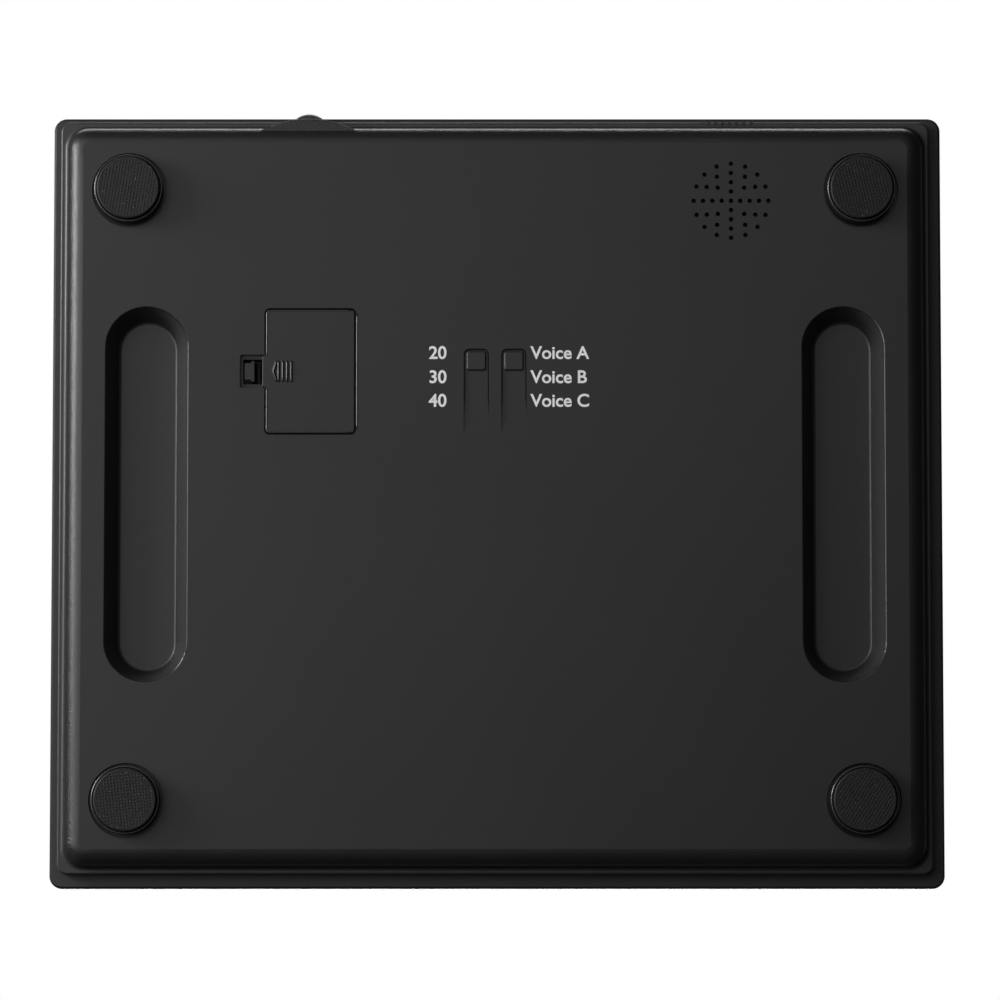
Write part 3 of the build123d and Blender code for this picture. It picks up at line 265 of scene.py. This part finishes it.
groundFrom = (glassFinish["corner"] - glassFinish["groundBand"]) * mm
ground = ranged(tree, reach, 0.0, 1.0, groundFrom, groundFrom + glassFinish["groundBlend"] * mm)
smudge = ranged(tree, noise(tree, place, glassFinish["smudgeSize"], 4.0), *glassFinish["rough"])
tint = mixed(tree, ground, opaque(glassFinish["colour"]), opaque(glassFinish["groundColour"]))
tree.links.new(tint, shader.inputs["Base Color"])
tree.links.new(maths(tree, "SUBTRACT", 1.0, ground), shader.inputs["Transmission Weight"])
dull = maths(tree, "MULTIPLY", ground, glassFinish["groundRough"])
tree.links.new(maths(tree, "MAXIMUM", smudge, dull), shader.inputs["Roughness"])
shader.inputs["IOR"].default_value = glassFinish["ior"]
wear(["platform_glass"], glassMaterial)
print("shell finishes made")


# Finishes of the inner pieces

innerFinishes = {
    "foamTape": (
        ["bonding_tape", "speaker_gasket"],
        {"colour": (0.03, 0.03, 0.03), "cloud": 0.3, "cloudSize": 1.2, "rough": 0.9, "roughPlay": 0.05,
         "grain": 0.5, "depth": 0.08},
    ),
    "cellSteel": (
        ["load_cell_" + corner for corner in corners],
        {"colour": (0.022, 0.022, 0.023), "cloud": 0.12, "cloudSize": 9, "rough": 0.4, "roughPlay": 0.08,
         "grain": 0.25, "depth": 0.004, "brush": (0.06, 1.0, 1.0)},
    ),
    "carrierPlastic": (
        ["load_cell_carrier_" + corner for corner in corners] + ["volume_pot"],
        {"colour": (0.02, 0.02, 0.02), "cloud": 0.05, "cloudSize": 20, "rough": 0.45, "roughPlay": 0.05,
         "grain": 0.3, "depth": 0.006},
    ),
    "gaugeFilm": (
        ["strain_gauges"],
        {"colour": (0.5, 0.27, 0.06), "cloud": 0.35, "cloudSize": 0.8, "rough": 0.35, "roughPlay": 0.08,
         "grain": 0.4, "depth": 0.01},
    ),
    "screwSteel": (
        ["carrier_screws", "board_screws", "switch_board_screws"],
        {"colour": (0.6, 0.6, 0.58), "cloud": 0.06, "cloudSize": 3, "rough": 0.25, "roughPlay": 0.06,
         "grain": 0.2, "depth": 0.003, "metal": 1.0},
    ),
    "boardMask": (
        ["main_board", "switch_board"],
        {"colour": (0.015, 0.13, 0.045), "cloud": 0.3, "cloudSize": 2.5, "rough": 0.32, "roughPlay": 0.06,
         "grain": 0.6, "depth": 0.01},
    ),
    "chipEpoxy": (
        ["board_chips"],
        {"colour": (0.016, 0.016, 0.016), "cloud": 0.1, "cloudSize": 2, "rough": 0.55, "roughPlay": 0.06,
         "grain": 0.15, "depth": 0.006},
    ),
    "holderPlastic": (["lcd_holder"], shellFinish),
    "lightGuide": (
        ["backlight_plate"],
        {"colour": (0.82, 0.83, 0.8), "cloud": 0.02, "cloudSize": 12, "rough": 0.3, "roughPlay": 0.05,
         "grain": 0.5, "depth": 0.01},
    ),
    "contactNickel": (
        ["battery_end_plates", "battery_leaf_springs", "unit_switch_wiper", "language_switch_wiper"],
        {"colour": (0.66, 0.64, 0.58), "cloud": 0.06, "cloudSize": 3, "rough": 0.22, "roughPlay": 0.07,
         "grain": 0.2, "depth": 0.003, "metal": 1.0, "brush": (1.0, 0.1, 1.0)},
    ),
    "speakerSteel": (
        ["speaker_frame"],
        {"colour": (0.32, 0.32, 0.33), "cloud": 0.06, "cloudSize": 8, "rough": 0.4, "roughPlay": 0.05,
         "grain": 0.3, "depth": 0.004, "metal": 1.0},
    ),
    "conePaper": (
        ["speaker_cone"],
        {"colour": (0.045, 0.045, 0.045), "cloud": 0.2, "cloudSize": 1.0, "rough": 0.85, "roughPlay": 0.06,
         "grain": 0.3, "depth": 0.05},
    ),
    "magnetFerrite": (
        ["speaker_magnet"],
        {"colour": (0.05, 0.05, 0.052), "cloud": 0.15, "cloudSize": 1.5, "rough": 0.6, "roughPlay": 0.08,
         "grain": 0.25, "depth": 0.02},
    ),
    "leadSheath": (
        ["load_cell_lead_" + corner for corner in corners]
        + ["speaker_lead", "battery_lead", "volume_lead", "switch_lead"],
        {"colour": (0.035, 0.035, 0.036), "cloud": 0.08, "cloudSize": 6, "rough": 0.5, "roughPlay": 0.06,
         "grain": 0.3, "depth": 0.008},
    ),
}
for finishName, (nodeNames, spec) in innerFinishes.items():
    wear(nodeNames, finish(finishName, spec))

# Battery cells: a printed sleeve with a copper band at the nub end, and bare steel caps
batteryLook = {
    "band": 9.0, "cap": 0.9, "nub": 0.8, "tail": 0.45, "sleeve": (0.018, 0.019, 0.022),
    "copper": (0.42, 0.19, 0.07), "steel": (0.6, 0.6, 0.6), "rough": 0.28, "scuffSize": 2.5,
    "scuff": (0.9, 1.1), "facing": {1: 1, 2: -1, 3: 1},
}
for index, facing in batteryLook["facing"].items():
    cellName = "battery_cell_%d" % index
    low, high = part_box(cellName)
    nubEnd = high.y if facing > 0 else low.y
    material, tree, shader, place = startMaterial("batterySleeve%d" % index, (0, 0, 0))
    along = addNode(tree, "ShaderNodeSeparateXYZ", {"Vector": place}).outputs["Y"]
    fromNub = maths(tree, "MULTIPLY", maths(tree, "SUBTRACT", nubEnd, along), facing / mm)
    length = (high.y - low.y) / mm
    inBand = maths(tree, "LESS_THAN", fromNub, batteryLook["band"])
    atNub = maths(tree, "LESS_THAN", fromNub, batteryLook["cap"] + batteryLook["nub"])
    atTail = maths(tree, "GREATER_THAN", fromNub, length - batteryLook["tail"])
    bare = maths(tree, "MAXIMUM", atNub, atTail)
    scuff = ranged(tree, noise(tree, place, batteryLook["scuffSize"]), *batteryLook["scuff"])
    sleeve = mixed(tree, inBand, opaque(batteryLook["sleeve"]), opaque(batteryLook["copper"]))
    tree.links.new(mixed(tree, bare, sleeve, opaque(batteryLook["steel"])), shader.inputs["Base Color"])
    tree.links.new(maths(tree, "MAXIMUM", bare, inBand), shader.inputs["Metallic"])
    tree.links.new(maths(tree, "MULTIPLY", scuff, batteryLook["rough"]), shader.inputs["Roughness"])
    wear([cellName], material)
print("inner finishes made:", len(innerFinishes))


# Foot pads: a disc whose sole carries two crossed families of fine ribs
padLook = {
    "edgeRound": 0.7, "pitch": 1.2, "groove": 0.11, "plainRim": 0.5, "rings": 70, "spokes": 380,
    "roundRows": 6, "wallRows": 4, "topRows": 4,
    "turns": {"front_left": -14, "front_right": 9, "rear_left": 33, "rear_right": -6},
}


def soleRelief(x, y, radius, turn):
    # depth = groove * (1 - max of two rib waves), each wave (1 + cos(2 pi u / pitch)) / 2 across its
    # own ribs, faded out over the plain rim
    u = x * math.cos(turn) + y * math.sin(turn)
    v = y * math.cos(turn) - x * math.sin(turn)
    ribs = np.maximum(*[0.5 + 0.5 * np.cos(2 * math.pi * w / padLook["pitch"]) for w in (u, v)])
    inside = np.clip((radius - padLook["edgeRound"] - np.hypot(x, y)) / padLook["plainRim"], 0, 1)
    return padLook["groove"] * (1 - ribs) * inside * inside * (3 - 2 * inside)


def padPoints(corner):
    # rings of (r cos a, r sin a, height): the sole from its middle outwards, a quarter round, the wall
    # and the top
    low, high = [np.array(c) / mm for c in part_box("foot_pad_" + corner)]
    centre, radius, height = (low + high) / 2, (high[0] - low[0]) / 2, high[2] - low[2]
    edge = padLook["edgeRound"]
    soleR = np.linspace(0, radius - edge, padLook["rings"] + 1)[1:]
    turnIn = np.linspace(0, math.pi / 2, padLook["roundRows"] + 1)[1:]
    wallZ = np.linspace(edge, height, padLook["wallRows"] + 1)[1:]
    topR = np.linspace(radius, 0, padLook["topRows"] + 2)[1:-1]
    ringR = np.concatenate([soleR, radius - edge + edge * np.sin(turnIn), wallZ * 0 + radius, topR])
    ringZ = np.concatenate([soleR * 0, edge - edge * np.cos(turnIn), wallZ, topR * 0 + height])
    angle = np.linspace(0, 2 * math.pi, padLook["spokes"], endpoint=False)
    x, y = np.outer(ringR, np.cos(angle)), np.outer(ringR, np.sin(angle))
    z = ringZ[:, None] + np.zeros_like(x)
    sole = len(soleR)
    z[:sole] += soleRelief(x[:sole], y[:sole], radius, math.radians(padLook["turns"][corner]))
    rings = np.stack([x + centre[0], y + centre[1], z + low[2]], axis=-1).reshape(-1, 3)
    poles = np.array([[centre[0], centre[1], low[2]], [centre[0], centre[1], high[2]]])
    return np.vstack([poles[:1], rings, poles[1:]]) * mm, len(ringR)


for corner in corners:
    points, rows = padPoints(corner)
    pad = meshPiece("ribbedPad_" + corner, points, spunFaces(rows, padLook["spokes"]), padRubber)
    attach(pad, "scale_body")
    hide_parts("foot_pad_" + corner)

# Cup lips: a bead round the mouth of each foot cup, the ring (R - r cos b) turned about the cup's axis
lipLook = {"ring": 12.95, "bead": 0.44, "spokes": 200, "turns": 20}


def ringFaces(rows, spokes):
    # quads of a closed grid that joins up both ways
    grid = np.arange(rows * spokes).reshape(rows, spokes)
    across = np.roll(grid, -1, axis=1)
    quads = np.stack([grid, np.roll(grid, -1, axis=0), np.roll(across, -1, axis=0), across], -1)
    return quads.reshape(-1, 4).tolist()


def lipPoints(corner):
    low, high = [np.array(c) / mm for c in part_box("foot_cup_" + corner)]
    turn = np.linspace(0, 2 * math.pi, lipLook["turns"], endpoint=False)[:, None]
    angle = np.linspace(0, 2 * math.pi, lipLook["spokes"], endpoint=False)[None]
    radius = lipLook["ring"] - lipLook["bead"] * np.cos(turn)
    x, y = radius * np.cos(angle), radius * np.sin(angle)
    z = low[2] + lipLook["bead"] * np.sin(turn) + np.zeros_like(x)
    middle = (low + high) / 2
    return np.stack([x + middle[0], y + middle[1], z], -1).reshape(-1, 3) * mm


lipFaces = ringFaces(lipLook["turns"], lipLook["spokes"])
for corner in corners:
    lip = meshPiece("cupLip_" + corner, lipPoints(corner), lipFaces, lipPlastic)
    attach(lip, "scale_body")
print("foot pads and cup lips made")


# Swept pieces: a closed section of (side, height) pairs carried along a path of points in the XY plane

def sweptGrid(path, section):
    # point = path + normal * side + (0, 0, height); the normal is the path's direction turned a quarter left
    ahead = np.gradient(path, axis=0)
    ahead = ahead / np.linalg.norm(ahead, axis=1, keepdims=True)
    normal = np.stack([-ahead[:, 1], ahead[:, 0]], -1)
    flat = path[:, None] + normal[:, None] * section[..., :1]
    height = np.broadcast_to(section[..., 1:], flat.shape[:2] + (1,))
    return np.concatenate([flat, height], -1)


def sweptFaces(stations, sides, start=0):
    # quads along the sweep, and the two ends closed by a face each
    grid = np.arange(stations * sides).reshape(stations, sides) + start
    after = np.roll(grid, -1, axis=1)
    quads = np.stack([grid[:-1], grid[1:], after[1:], after[:-1]], -1).reshape(-1, 4).tolist()
    return quads + [grid[0].tolist(), grid[-1, ::-1].tolist()]


# Finger ridges: a half-round bead on the crest of each of the door's ridges and of its chevron
beadLook = {
    "half": 0.3, "rise": 0.24, "sunk": 0.05, "crest": 8.05, "length": 8.0, "endShare": 0.02,
    "stations": 24, "sides": 14, "middle": 48.1, "first": 84.7, "pitch": 1.66, "count": 4,
    "chevronTip": 86.7, "chevronDepth": 1.35,
}


def beadPaths():
    # straight runs along y, and the two legs of the chevron as one bent run
    along = np.linspace(-0.5, 0.5, beadLook["stations"]) * beadLook["length"]
    places = beadLook["first"] - beadLook["pitch"] * np.arange(beadLook["count"])
    straight = [np.stack([along * 0 + x, along + beadLook["middle"]], -1) for x in places]
    bend = beadLook["chevronTip"] - beadLook["chevronDepth"] * np.abs(along) / along.max()
    return straight + [np.stack([bend, along + beadLook["middle"]], -1)]


turn = np.linspace(0, 2 * math.pi, beadLook["sides"], endpoint=False)
ease = np.sqrt(1 - np.linspace(-1, 1, beadLook["stations"]) ** 4)[:, None]  # the ends run out
ease = ease + beadLook["endShare"]
beadSection = np.stack([
    beadLook["half"] * np.cos(turn) * ease,
    beadLook["crest"] + beadLook["sunk"] - beadLook["rise"] * np.sin(turn) * ease,
], -1)
beadPoints = np.concatenate([sweptGrid(path, beadSection).reshape(-1, 3) for path in beadPaths()])
perBead = beadLook["stations"] * beadLook["sides"]
beadFaces = [
    face
    for start in range(0, len(beadPoints), perBead)
    for face in sweptFaces(beadLook["stations"], beadLook["sides"], start)
]
beads = meshPiece("ridgeBeads", beadPoints * mm, beadFaces, lipPlastic)
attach(beads, "battery_door")


# Switch windows: painted shadow, a near-black strip along each window's wall, down both sides and round
# the top
paintedShadowLook = {
    "width": 9.85, "top": 57.05, "length": 26.0, "corner": 2.3, "thick": 0.4, "low": 8.56, "high": 9.22,
    "run": 40, "bend": 12, "across": 12, "fadeFrom": 0.7, "fadeTo": 1.02, "thinnest": 0.05,
    "places": {"unit_switch": 7.35, "language_switch": -7.35},
}
# near-black finish for painted shadow, the strips that stand in for the shade in the gaps round the switch
# windows and the battery door
paintedShadowFinish = {
    "colour": (0.002, 0.002, 0.002), "cloud": 0.1, "cloudSize": 3, "rough": 0.8, "roughPlay": 0.05,
    "grain": 0.3, "depth": 0.002, "specular": 0.1,
}
paintedShadowMaterial = finish("paintedShadowMaterial", paintedShadowFinish)


def paintedShadowPath(middle):
    # up the side at -x, a quarter round of the corner's radius, across, a quarter round, and down the
    # side at +x
    half, corner, top = paintedShadowLook["width"] / 2, paintedShadowLook["corner"], paintedShadowLook["top"]
    rise = np.linspace(top - paintedShadowLook["length"], top - corner, paintedShadowLook["run"])
    bend = np.linspace(0, math.pi / 2, paintedShadowLook["bend"] + 2)[1:-1]
    across = np.linspace(-half + corner, half - corner, paintedShadowLook["across"])
    left = np.stack([rise * 0 - half, rise], -1)
    firstBend = np.stack([-half + corner - corner * np.cos(bend), top - corner + corner * np.sin(bend)], -1)
    over = np.stack([across, across * 0 + top], -1)
    oneSide = np.concatenate([left, firstBend])
    return np.concatenate([oneSide, over, oneSide[::-1] * np.array([-1, 1])]) + np.array([middle, 0])


for switchName, middle in paintedShadowLook["places"].items():
    path = paintedShadowPath(middle)
    below = (paintedShadowLook["top"] - path[:, 1]) / paintedShadowLook["length"]
    share = np.clip((paintedShadowLook["fadeTo"] - below) / (1 - paintedShadowLook["fadeFrom"]), paintedShadowLook["thinnest"], 1)
    thin = share[:, None] * paintedShadowLook["thick"]
    side = np.array([[0, -1, -1, 0]]) * thin
    height = np.array([[paintedShadowLook["low"], paintedShadowLook["low"], paintedShadowLook["high"], paintedShadowLook["high"]]]) + side * 0
    points = sweptGrid(path, np.stack([side, height], -1)).reshape(-1, 3)
    # the strip is painted shadow, standing in for the shade in the gap round the window
    paintedShadowStrip = meshPiece(switchName + "Seam", points * mm, sweptFaces(len(path), 4), paintedShadowMaterial, smooth=False)
    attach(paintedShadowStrip, "scale_body")
print("ridge beads and switch seams made")


# Battery door's edge: painted shadow, a near-black band on the tray round the gap, and the light lines of
# the rounded edges beside it
doorLook = {
    "left": 54.95, "right": 89.55, "middle": 48.1, "length": 48.5, "corner": 1.5, "tongue": 12.0,
    "tongueRoom": 0.4, "gap": 0.35, "paintedShadowStrip": 0.34, "paintedShadowSunk": 0.04, "paintedShadowProud": 0.015, "floor": 8.5,
    "beadHalf": 0.3, "beadInset": 0.02, "beadRise": 0.13, "beadSunk": 0.08,
    "run": 30, "bend": 12, "sides": 12,
}


def cornerRun(grow, tip):
    # up the tongue's side of the door, a quarter round, and across the end to x = tip; grow moves it
    # outward
    right, top = doorLook["right"] + grow, doorLook["length"] / 2 + grow
    corner = doorLook["corner"] + grow
    start = doorLook["tongue"] / 2 + doorLook["gap"] + doorLook["tongueRoom"]
    up = np.linspace(start, top - corner, doorLook["run"])
    bend = np.linspace(0, math.pi / 2, doorLook["bend"] + 2)[1:-1]
    over = np.linspace(right - corner, tip, doorLook["run"])
    return np.concatenate([
        np.stack([up * 0 + right, up], -1),
        np.stack([right - corner + corner * np.cos(bend), top - corner + corner * np.sin(bend)], -1),
        np.stack([over, over * 0 + top], -1),
    ])


def doorRound(grow):
    # both corner runs and the hinge side between them, as one open path from the tongue round to the tongue
    left, corner = doorLook["left"] - grow, doorLook["corner"] + grow
    top = doorLook["length"] / 2 + grow
    upper = cornerRun(grow, left + corner)
    bend = np.linspace(0, math.pi / 2, doorLook["bend"] + 2)[1:-1]
    turned = np.stack([left + corner - corner * np.sin(bend), top - corner + corner * np.cos(bend)], -1)
    half = np.concatenate([upper, turned])
    down = np.linspace(top - corner, corner - top, doorLook["run"])
    hinge = np.stack([down * 0 + left, down], -1)
    return np.concatenate([half, hinge, half[::-1] * np.array([1, -1])]) + np.array([0, doorLook["middle"]])


def beadAlong(name, path, body):
    # a half-round bead over a path, sunk a little into the face below it
    angle = np.linspace(0, 2 * math.pi, doorLook["sides"], endpoint=False)
    side = np.broadcast_to(doorLook["beadHalf"] * np.cos(angle), (len(path), doorLook["sides"]))
    low = doorLook["floor"] + doorLook["beadSunk"]
    height = np.broadcast_to(low - (doorLook["beadRise"] + doorLook["beadSunk"]) * np.sin(angle), side.shape)
    points = sweptGrid(path, np.stack([side, height], -1)).reshape(-1, 3)
    bead = meshPiece(name, points * mm, sweptFaces(len(path), doorLook["sides"]), lipPlastic)
    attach(bead, body)


# the near-black band round the door's gap is painted shadow, standing in for the shade in the gap
path = doorRound(doorLook["gap"])
side = np.array([[0, -1, -1, 0]]) * doorLook["paintedShadowStrip"] + np.zeros((len(path), 1))
low, high = doorLook["floor"] - doorLook["paintedShadowProud"], doorLook["floor"] + doorLook["paintedShadowSunk"]
height = np.array([[low, low, high, high]]) + side * 0
points = sweptGrid(path, np.stack([side, height], -1)).reshape(-1, 3)
doorSeam = meshPiece("doorSeam", points * mm, sweptFaces(len(path), 4), paintedShadowMaterial, smooth=False)
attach(doorSeam, "scale_body")
inward = -doorLook["beadHalf"] - doorLook["beadInset"]
upperRun = cornerRun(inward, doorLook["left"] + doorLook["corner"])
atDoor = np.array([0, doorLook["middle"]])
beadAlong("doorLipUpper", upperRun + atDoor, "battery_door")
beadAlong("doorLipLower", upperRun[::-1] * np.array([1, -1]) + atDoor, "battery_door")
span = np.linspace(0.5, -0.5, doorLook["run"]) * (doorLook["length"] - 2 * doorLook["corner"])
trayLine = doorLook["left"] - doorLook["gap"] - doorLook["paintedShadowStrip"] - doorLook["beadHalf"]
hingeRun = np.stack([span * 0 + trayLine, span], -1) + atDoor
beadAlong("trayLip", hingeRun, "scale_body")
print("door edges made")


# Switch labels: plain numbers and letters printed on the underside
labelLook = {
    "size": 7.0, "bold": 0.14, "thick": 0.03, "sunk": 0.01, "rows": (55.2, 45.7, 36.4),
    "columns": {
        "unitLabel": {"x": 22.4, "align": "CENTER", "signs": ("20", "30", "40")},
        "languageLabel": {"x": -14.0, "align": "LEFT", "signs": ("Voice A", "Voice B", "Voice C")},
    },
}
labelFinish = {
    "colour": (0.88, 0.88, 0.88), "cloud": 0.02, "cloudSize": 5, "rough": 0.5, "roughPlay": 0.05,
    "grain": 0.3, "depth": 0.003,
}
labelPaint = finish("labelPaint", labelFinish)
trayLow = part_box("base_tray")[0]


def printedSign(name, sign, align, x, y):
    # the sign's outline as a thin solid, half turned about Y so that it reads from below
    curve = bpy.data.curves.new(name, "FONT")
    curve.body = sign
    curve.size = labelLook["size"] * mm
    curve.offset = labelLook["bold"] * mm
    curve.extrude = labelLook["thick"] / 2 * mm
    curve.align_x, curve.align_y = align, "CENTER"
    flat = bpy.data.objects.new(name + "Curve", curve)
    scene.collection.objects.link(flat)
    bpy.context.view_layer.update()
    mesh = bpy.data.meshes.new_from_object(flat.evaluated_get(bpy.context.evaluated_depsgraph_get()))
    bpy.data.objects.remove(flat)
    height = trayLow.z + (labelLook["sunk"] - labelLook["thick"] / 2) * mm
    mesh.transform(Matrix.Translation((x * mm, y * mm, height)) @ Matrix.Rotation(math.pi, 4, "Y"))
    mesh.materials.clear()
    mesh.materials.append(labelPaint)
    mesh.name = name
    piece = bpy.data.objects.new(name, mesh)
    scene.collection.objects.link(piece)
    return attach(piece, "scale_body")


for columnName, column in labelLook["columns"].items():
    for row, (sign, y) in enumerate(zip(column["signs"], labelLook["rows"])):
        printedSign(columnName + str(row + 1), sign, column["align"], column["x"], y)
print("labels made")


# Display: a lit panel with two seven-bar figures and a point between them
displayLook = {
    "panel": (0.5, 0.58, 0.5), "glow": 1.6, "rough": 0.3, "unevenSize": 30, "uneven": (0.92, 1.06),
    "ink": (0.01, 0.012, 0.012), "height": 17.0, "width": 9.0, "bar": 2.0, "gap": 0.25, "thick": 0.05,
    "sunk": 0.01, "places": (-7.5, 7.5), "point": 2.2, "pointSides": 6,
}
panelLow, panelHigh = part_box("lcd_panel")
panelMaterial, tree, shader, place = startMaterial("litPanel", (0, 0, 0))
even = ranged(tree, noise(tree, place, displayLook["unevenSize"]), *displayLook["uneven"])
glow = mixed(tree, even, (0, 0, 0, 1), opaque(displayLook["panel"]))
tree.links.new(glow, shader.inputs["Base Color"])
tree.links.new(glow, shader.inputs["Emission Color"])
shader.inputs["Emission Strength"].default_value = displayLook["glow"]
shader.inputs["Roughness"].default_value = displayLook["rough"]
wear(["lcd_panel"], panelMaterial)
inkFinish = {
    "colour": displayLook["ink"], "cloud": 0.05, "cloudSize": 3, "rough": 0.4, "roughPlay": 0.04,
    "grain": 0.3, "depth": 0.002,
}
displayInk = finish("displayInk", inkFinish)


def barOutlines():
    # seven long hexagons round a figure of eight, each a bar with pointed ends, as a 7 x 6 x 2 array
    w, h = [displayLook[key] / 2 - displayLook["bar"] / 2 for key in ("width", "height")]
    joints = np.array([[-w, h], [w, h], [w, 0], [w, -h], [-w, -h], [-w, 0]])
    ends = joints[[[0, 1], [1, 2], [2, 3], [3, 4], [4, 5], [5, 0], [5, 2]]]
    along = ends[:, 1] - ends[:, 0]
    along = along / np.linalg.norm(along, axis=1, keepdims=True)
    across = np.stack([-along[:, 1], along[:, 0]], axis=-1) * displayLook["bar"] / 2
    first = ends[:, 0] + along * displayLook["gap"]
    last = ends[:, 1] - along * displayLook["gap"]
    inset = along * displayLook["bar"] / 2
    return np.stack([first, first + inset + across, last - inset + across,
                     last, last - inset - across, first + inset - across], axis=1)


def plates(outlines):
    # flat plates from outlines of n points each: lower ring, upper ring, two caps and n side quads
    count, sides = outlines.shape[:2]
    low = (panelHigh.z / mm - displayLook["sunk"]) + np.zeros((count, sides, 1))
    points = np.concatenate([np.concatenate([outlines, low], -1),
                             np.concatenate([outlines, low + displayLook["thick"]], -1)], axis=1)
    start = np.arange(count)[:, None] * 2 * sides
    ring = np.arange(sides)
    upper = (start + sides + ring[::-1]).tolist()
    lower = (start + ring).tolist()
    after = np.roll(ring, -1)
    side = np.stack([start + ring, start + sides + ring, start + sides + after, start + after], -1)
    return points.reshape(-1, 3) * mm, upper + lower + side.reshape(-1, 4).tolist()


eight = barOutlines()
zero = eight[:6]  # a nought leaves the middle bar out
middle = (np.array(panelLow) + np.array(panelHigh))[:2] / 2 / mm
figures = np.concatenate([zero + middle + np.array([x, 0]) for x in displayLook["places"]])
roundAngle = np.linspace(0, -2 * math.pi, displayLook["pointSides"], endpoint=False)
pointAt = middle + np.array([0, -displayLook["height"] / 2 + displayLook["point"] / 2])
dot = pointAt + np.stack([np.cos(roundAngle), np.sin(roundAngle)], -1) * displayLook["point"] / 2
points, faces = plates(np.concatenate([figures, dot[None]]))
figurePiece = meshPiece("displayFigures", points, faces, displayInk, smooth=False)
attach(figurePiece, "scale_body")
print("display made")


# Stage: a pale floor that is seen from above only, so that the underside can be looked at from below
floorLook = {"size": 6.0, "colour": (0.82, 0.82, 0.82)}
half = floorLook["size"] / 2
floorMaterial = bpy.data.materials.new("paleFloor")
floorMaterial.use_nodes = True
tree = floorMaterial.node_tree
tree.nodes.clear()
paint = addNode(tree, "ShaderNodeBsdfDiffuse", {"Color": opaque(floorLook["colour"])})
clear = addNode(tree, "ShaderNodeBsdfTransparent")
fromBelow = addNode(tree, "ShaderNodeNewGeometry").outputs["Backfacing"]
blend = addNode(tree, "ShaderNodeMixShader", {0: fromBelow, 1: paint.outputs[0], 2: clear.outputs[0]})
addNode(tree, "ShaderNodeOutputMaterial", {"Surface": blend.outputs[0]})
floorPiece = meshPiece(
    "stageFloor",
    [(-half, -half, cadLow.z), (half, -half, cadLow.z), (half, half, cadLow.z), (-half, half, cadLow.z)],
    [(0, 1, 2, 3)],
    floorMaterial,
)
floorPiece.visible_diffuse = False
floorPiece.visible_glossy = False
floorPiece.visible_transmission = False
floorPiece.visible_shadow = False


# World: white where the camera looks past the object; what the object sees is dim below and at its
# own level, and bright overhead
worldLook = {"overhead": 0.45, "below": 0.03, "edge": (0.75, 0.98)}
world = bpy.data.worlds.new("studio")
scene.world = world
world.use_nodes = True
tree = world.node_tree
direction = addNode(tree, "ShaderNodeTexCoord").outputs["Generated"]
rise = addNode(tree, "ShaderNodeSeparateXYZ", {"Vector": direction}).outputs["Z"]
overhead = ranged(tree, rise, worldLook["below"], worldLook["overhead"], *worldLook["edge"])
rays = addNode(tree, "ShaderNodeLightPath").outputs
seen = maths(tree, "MAXIMUM", rays["Is Camera Ray"], overhead)
tree.links.new(seen, tree.nodes["Background"].inputs["Color"])


def softLight(name, spec):
    lamp = bpy.data.lights.new(name, "AREA")
    lamp.shape = "RECTANGLE"
    lamp.size, lamp.size_y = spec["size"]
    lamp.energy = spec["watts"]
    light = bpy.data.objects.new(name, lamp)
    light.location = spec["place"]
    aim = Vector(spec["aim"]) - Vector(spec["place"])
    light.rotation_euler = aim.to_track_quat("-Z", "Y").to_euler()
    light.visible_camera = False
    scene.collection.objects.link(light)


lights = {
    "sideKey": {"place": (1.05, 0.3, -0.34), "aim": (0.1, 0.05, 0), "size": (0.42, 0.5), "watts": 11.8},
    "lowFill": {"place": (0.45, 0.4, -1.5), "aim": (0, 0, 0), "size": (1.5, 1.5), "watts": 5.3},
    "leftSoft": {"place": (1.3, 0.2, -1.3), "aim": (0, 0, 0), "size": (1.2, 1.2), "watts": 10.5},
    "farTop": {"place": (0.1, 1.2, 1.1), "aim": (0, 0.1, 0), "size": (1.2, 0.5), "watts": 6.8},
    "overhead": {"place": (-0.1, -0.1, 1.7), "aim": (0, 0, 0), "size": (1.1, 1.1), "watts": 18},
}
for lightName, spec in lights.items():
    softLight(lightName, spec)


# Camera: below the scale, turned so that the display edge is up in the picture
cameraLook = {"tilt": 5.4, "distance": 2360.0, "lens": 216.14, "sensor": 36.0, "pixels": 1000,
              "platformAt": (497.1, 501.6)}
tilt = math.radians(cameraLook["tilt"])
right = Vector((-1, 0, 0))
up = Vector((0, math.cos(tilt), -math.sin(tilt)))
forward = Vector((0, math.sin(tilt), math.cos(tilt)))
platform = Vector(((glassLow.x + glassHigh.x) / 2, (glassLow.y + glassHigh.y) / 2, glassLow.z))
perPixel = cameraLook["distance"] * cameraLook["sensor"] / cameraLook["lens"] / cameraLook["pixels"] * mm
offRight, offDown = [at - cameraLook["pixels"] / 2 for at in cameraLook["platformAt"]]
seat = platform - forward * cameraLook["distance"] * mm
seat = seat - right * offRight * perPixel + up * offDown * perPixel
cameraData = bpy.data.cameras.new("camera")
cameraData.lens = cameraLook["lens"]
cameraData.sensor_width = cameraLook["sensor"]
camera = bpy.data.objects.new("camera", cameraData)
camera.matrix_world = Matrix.Translation(seat) @ Matrix((right, up, -forward)).transposed().to_4x4()
scene.collection.objects.link(camera)
scene.camera = camera
scene.view_settings.view_transform = "Standard"
print("stage, lights and camera made")
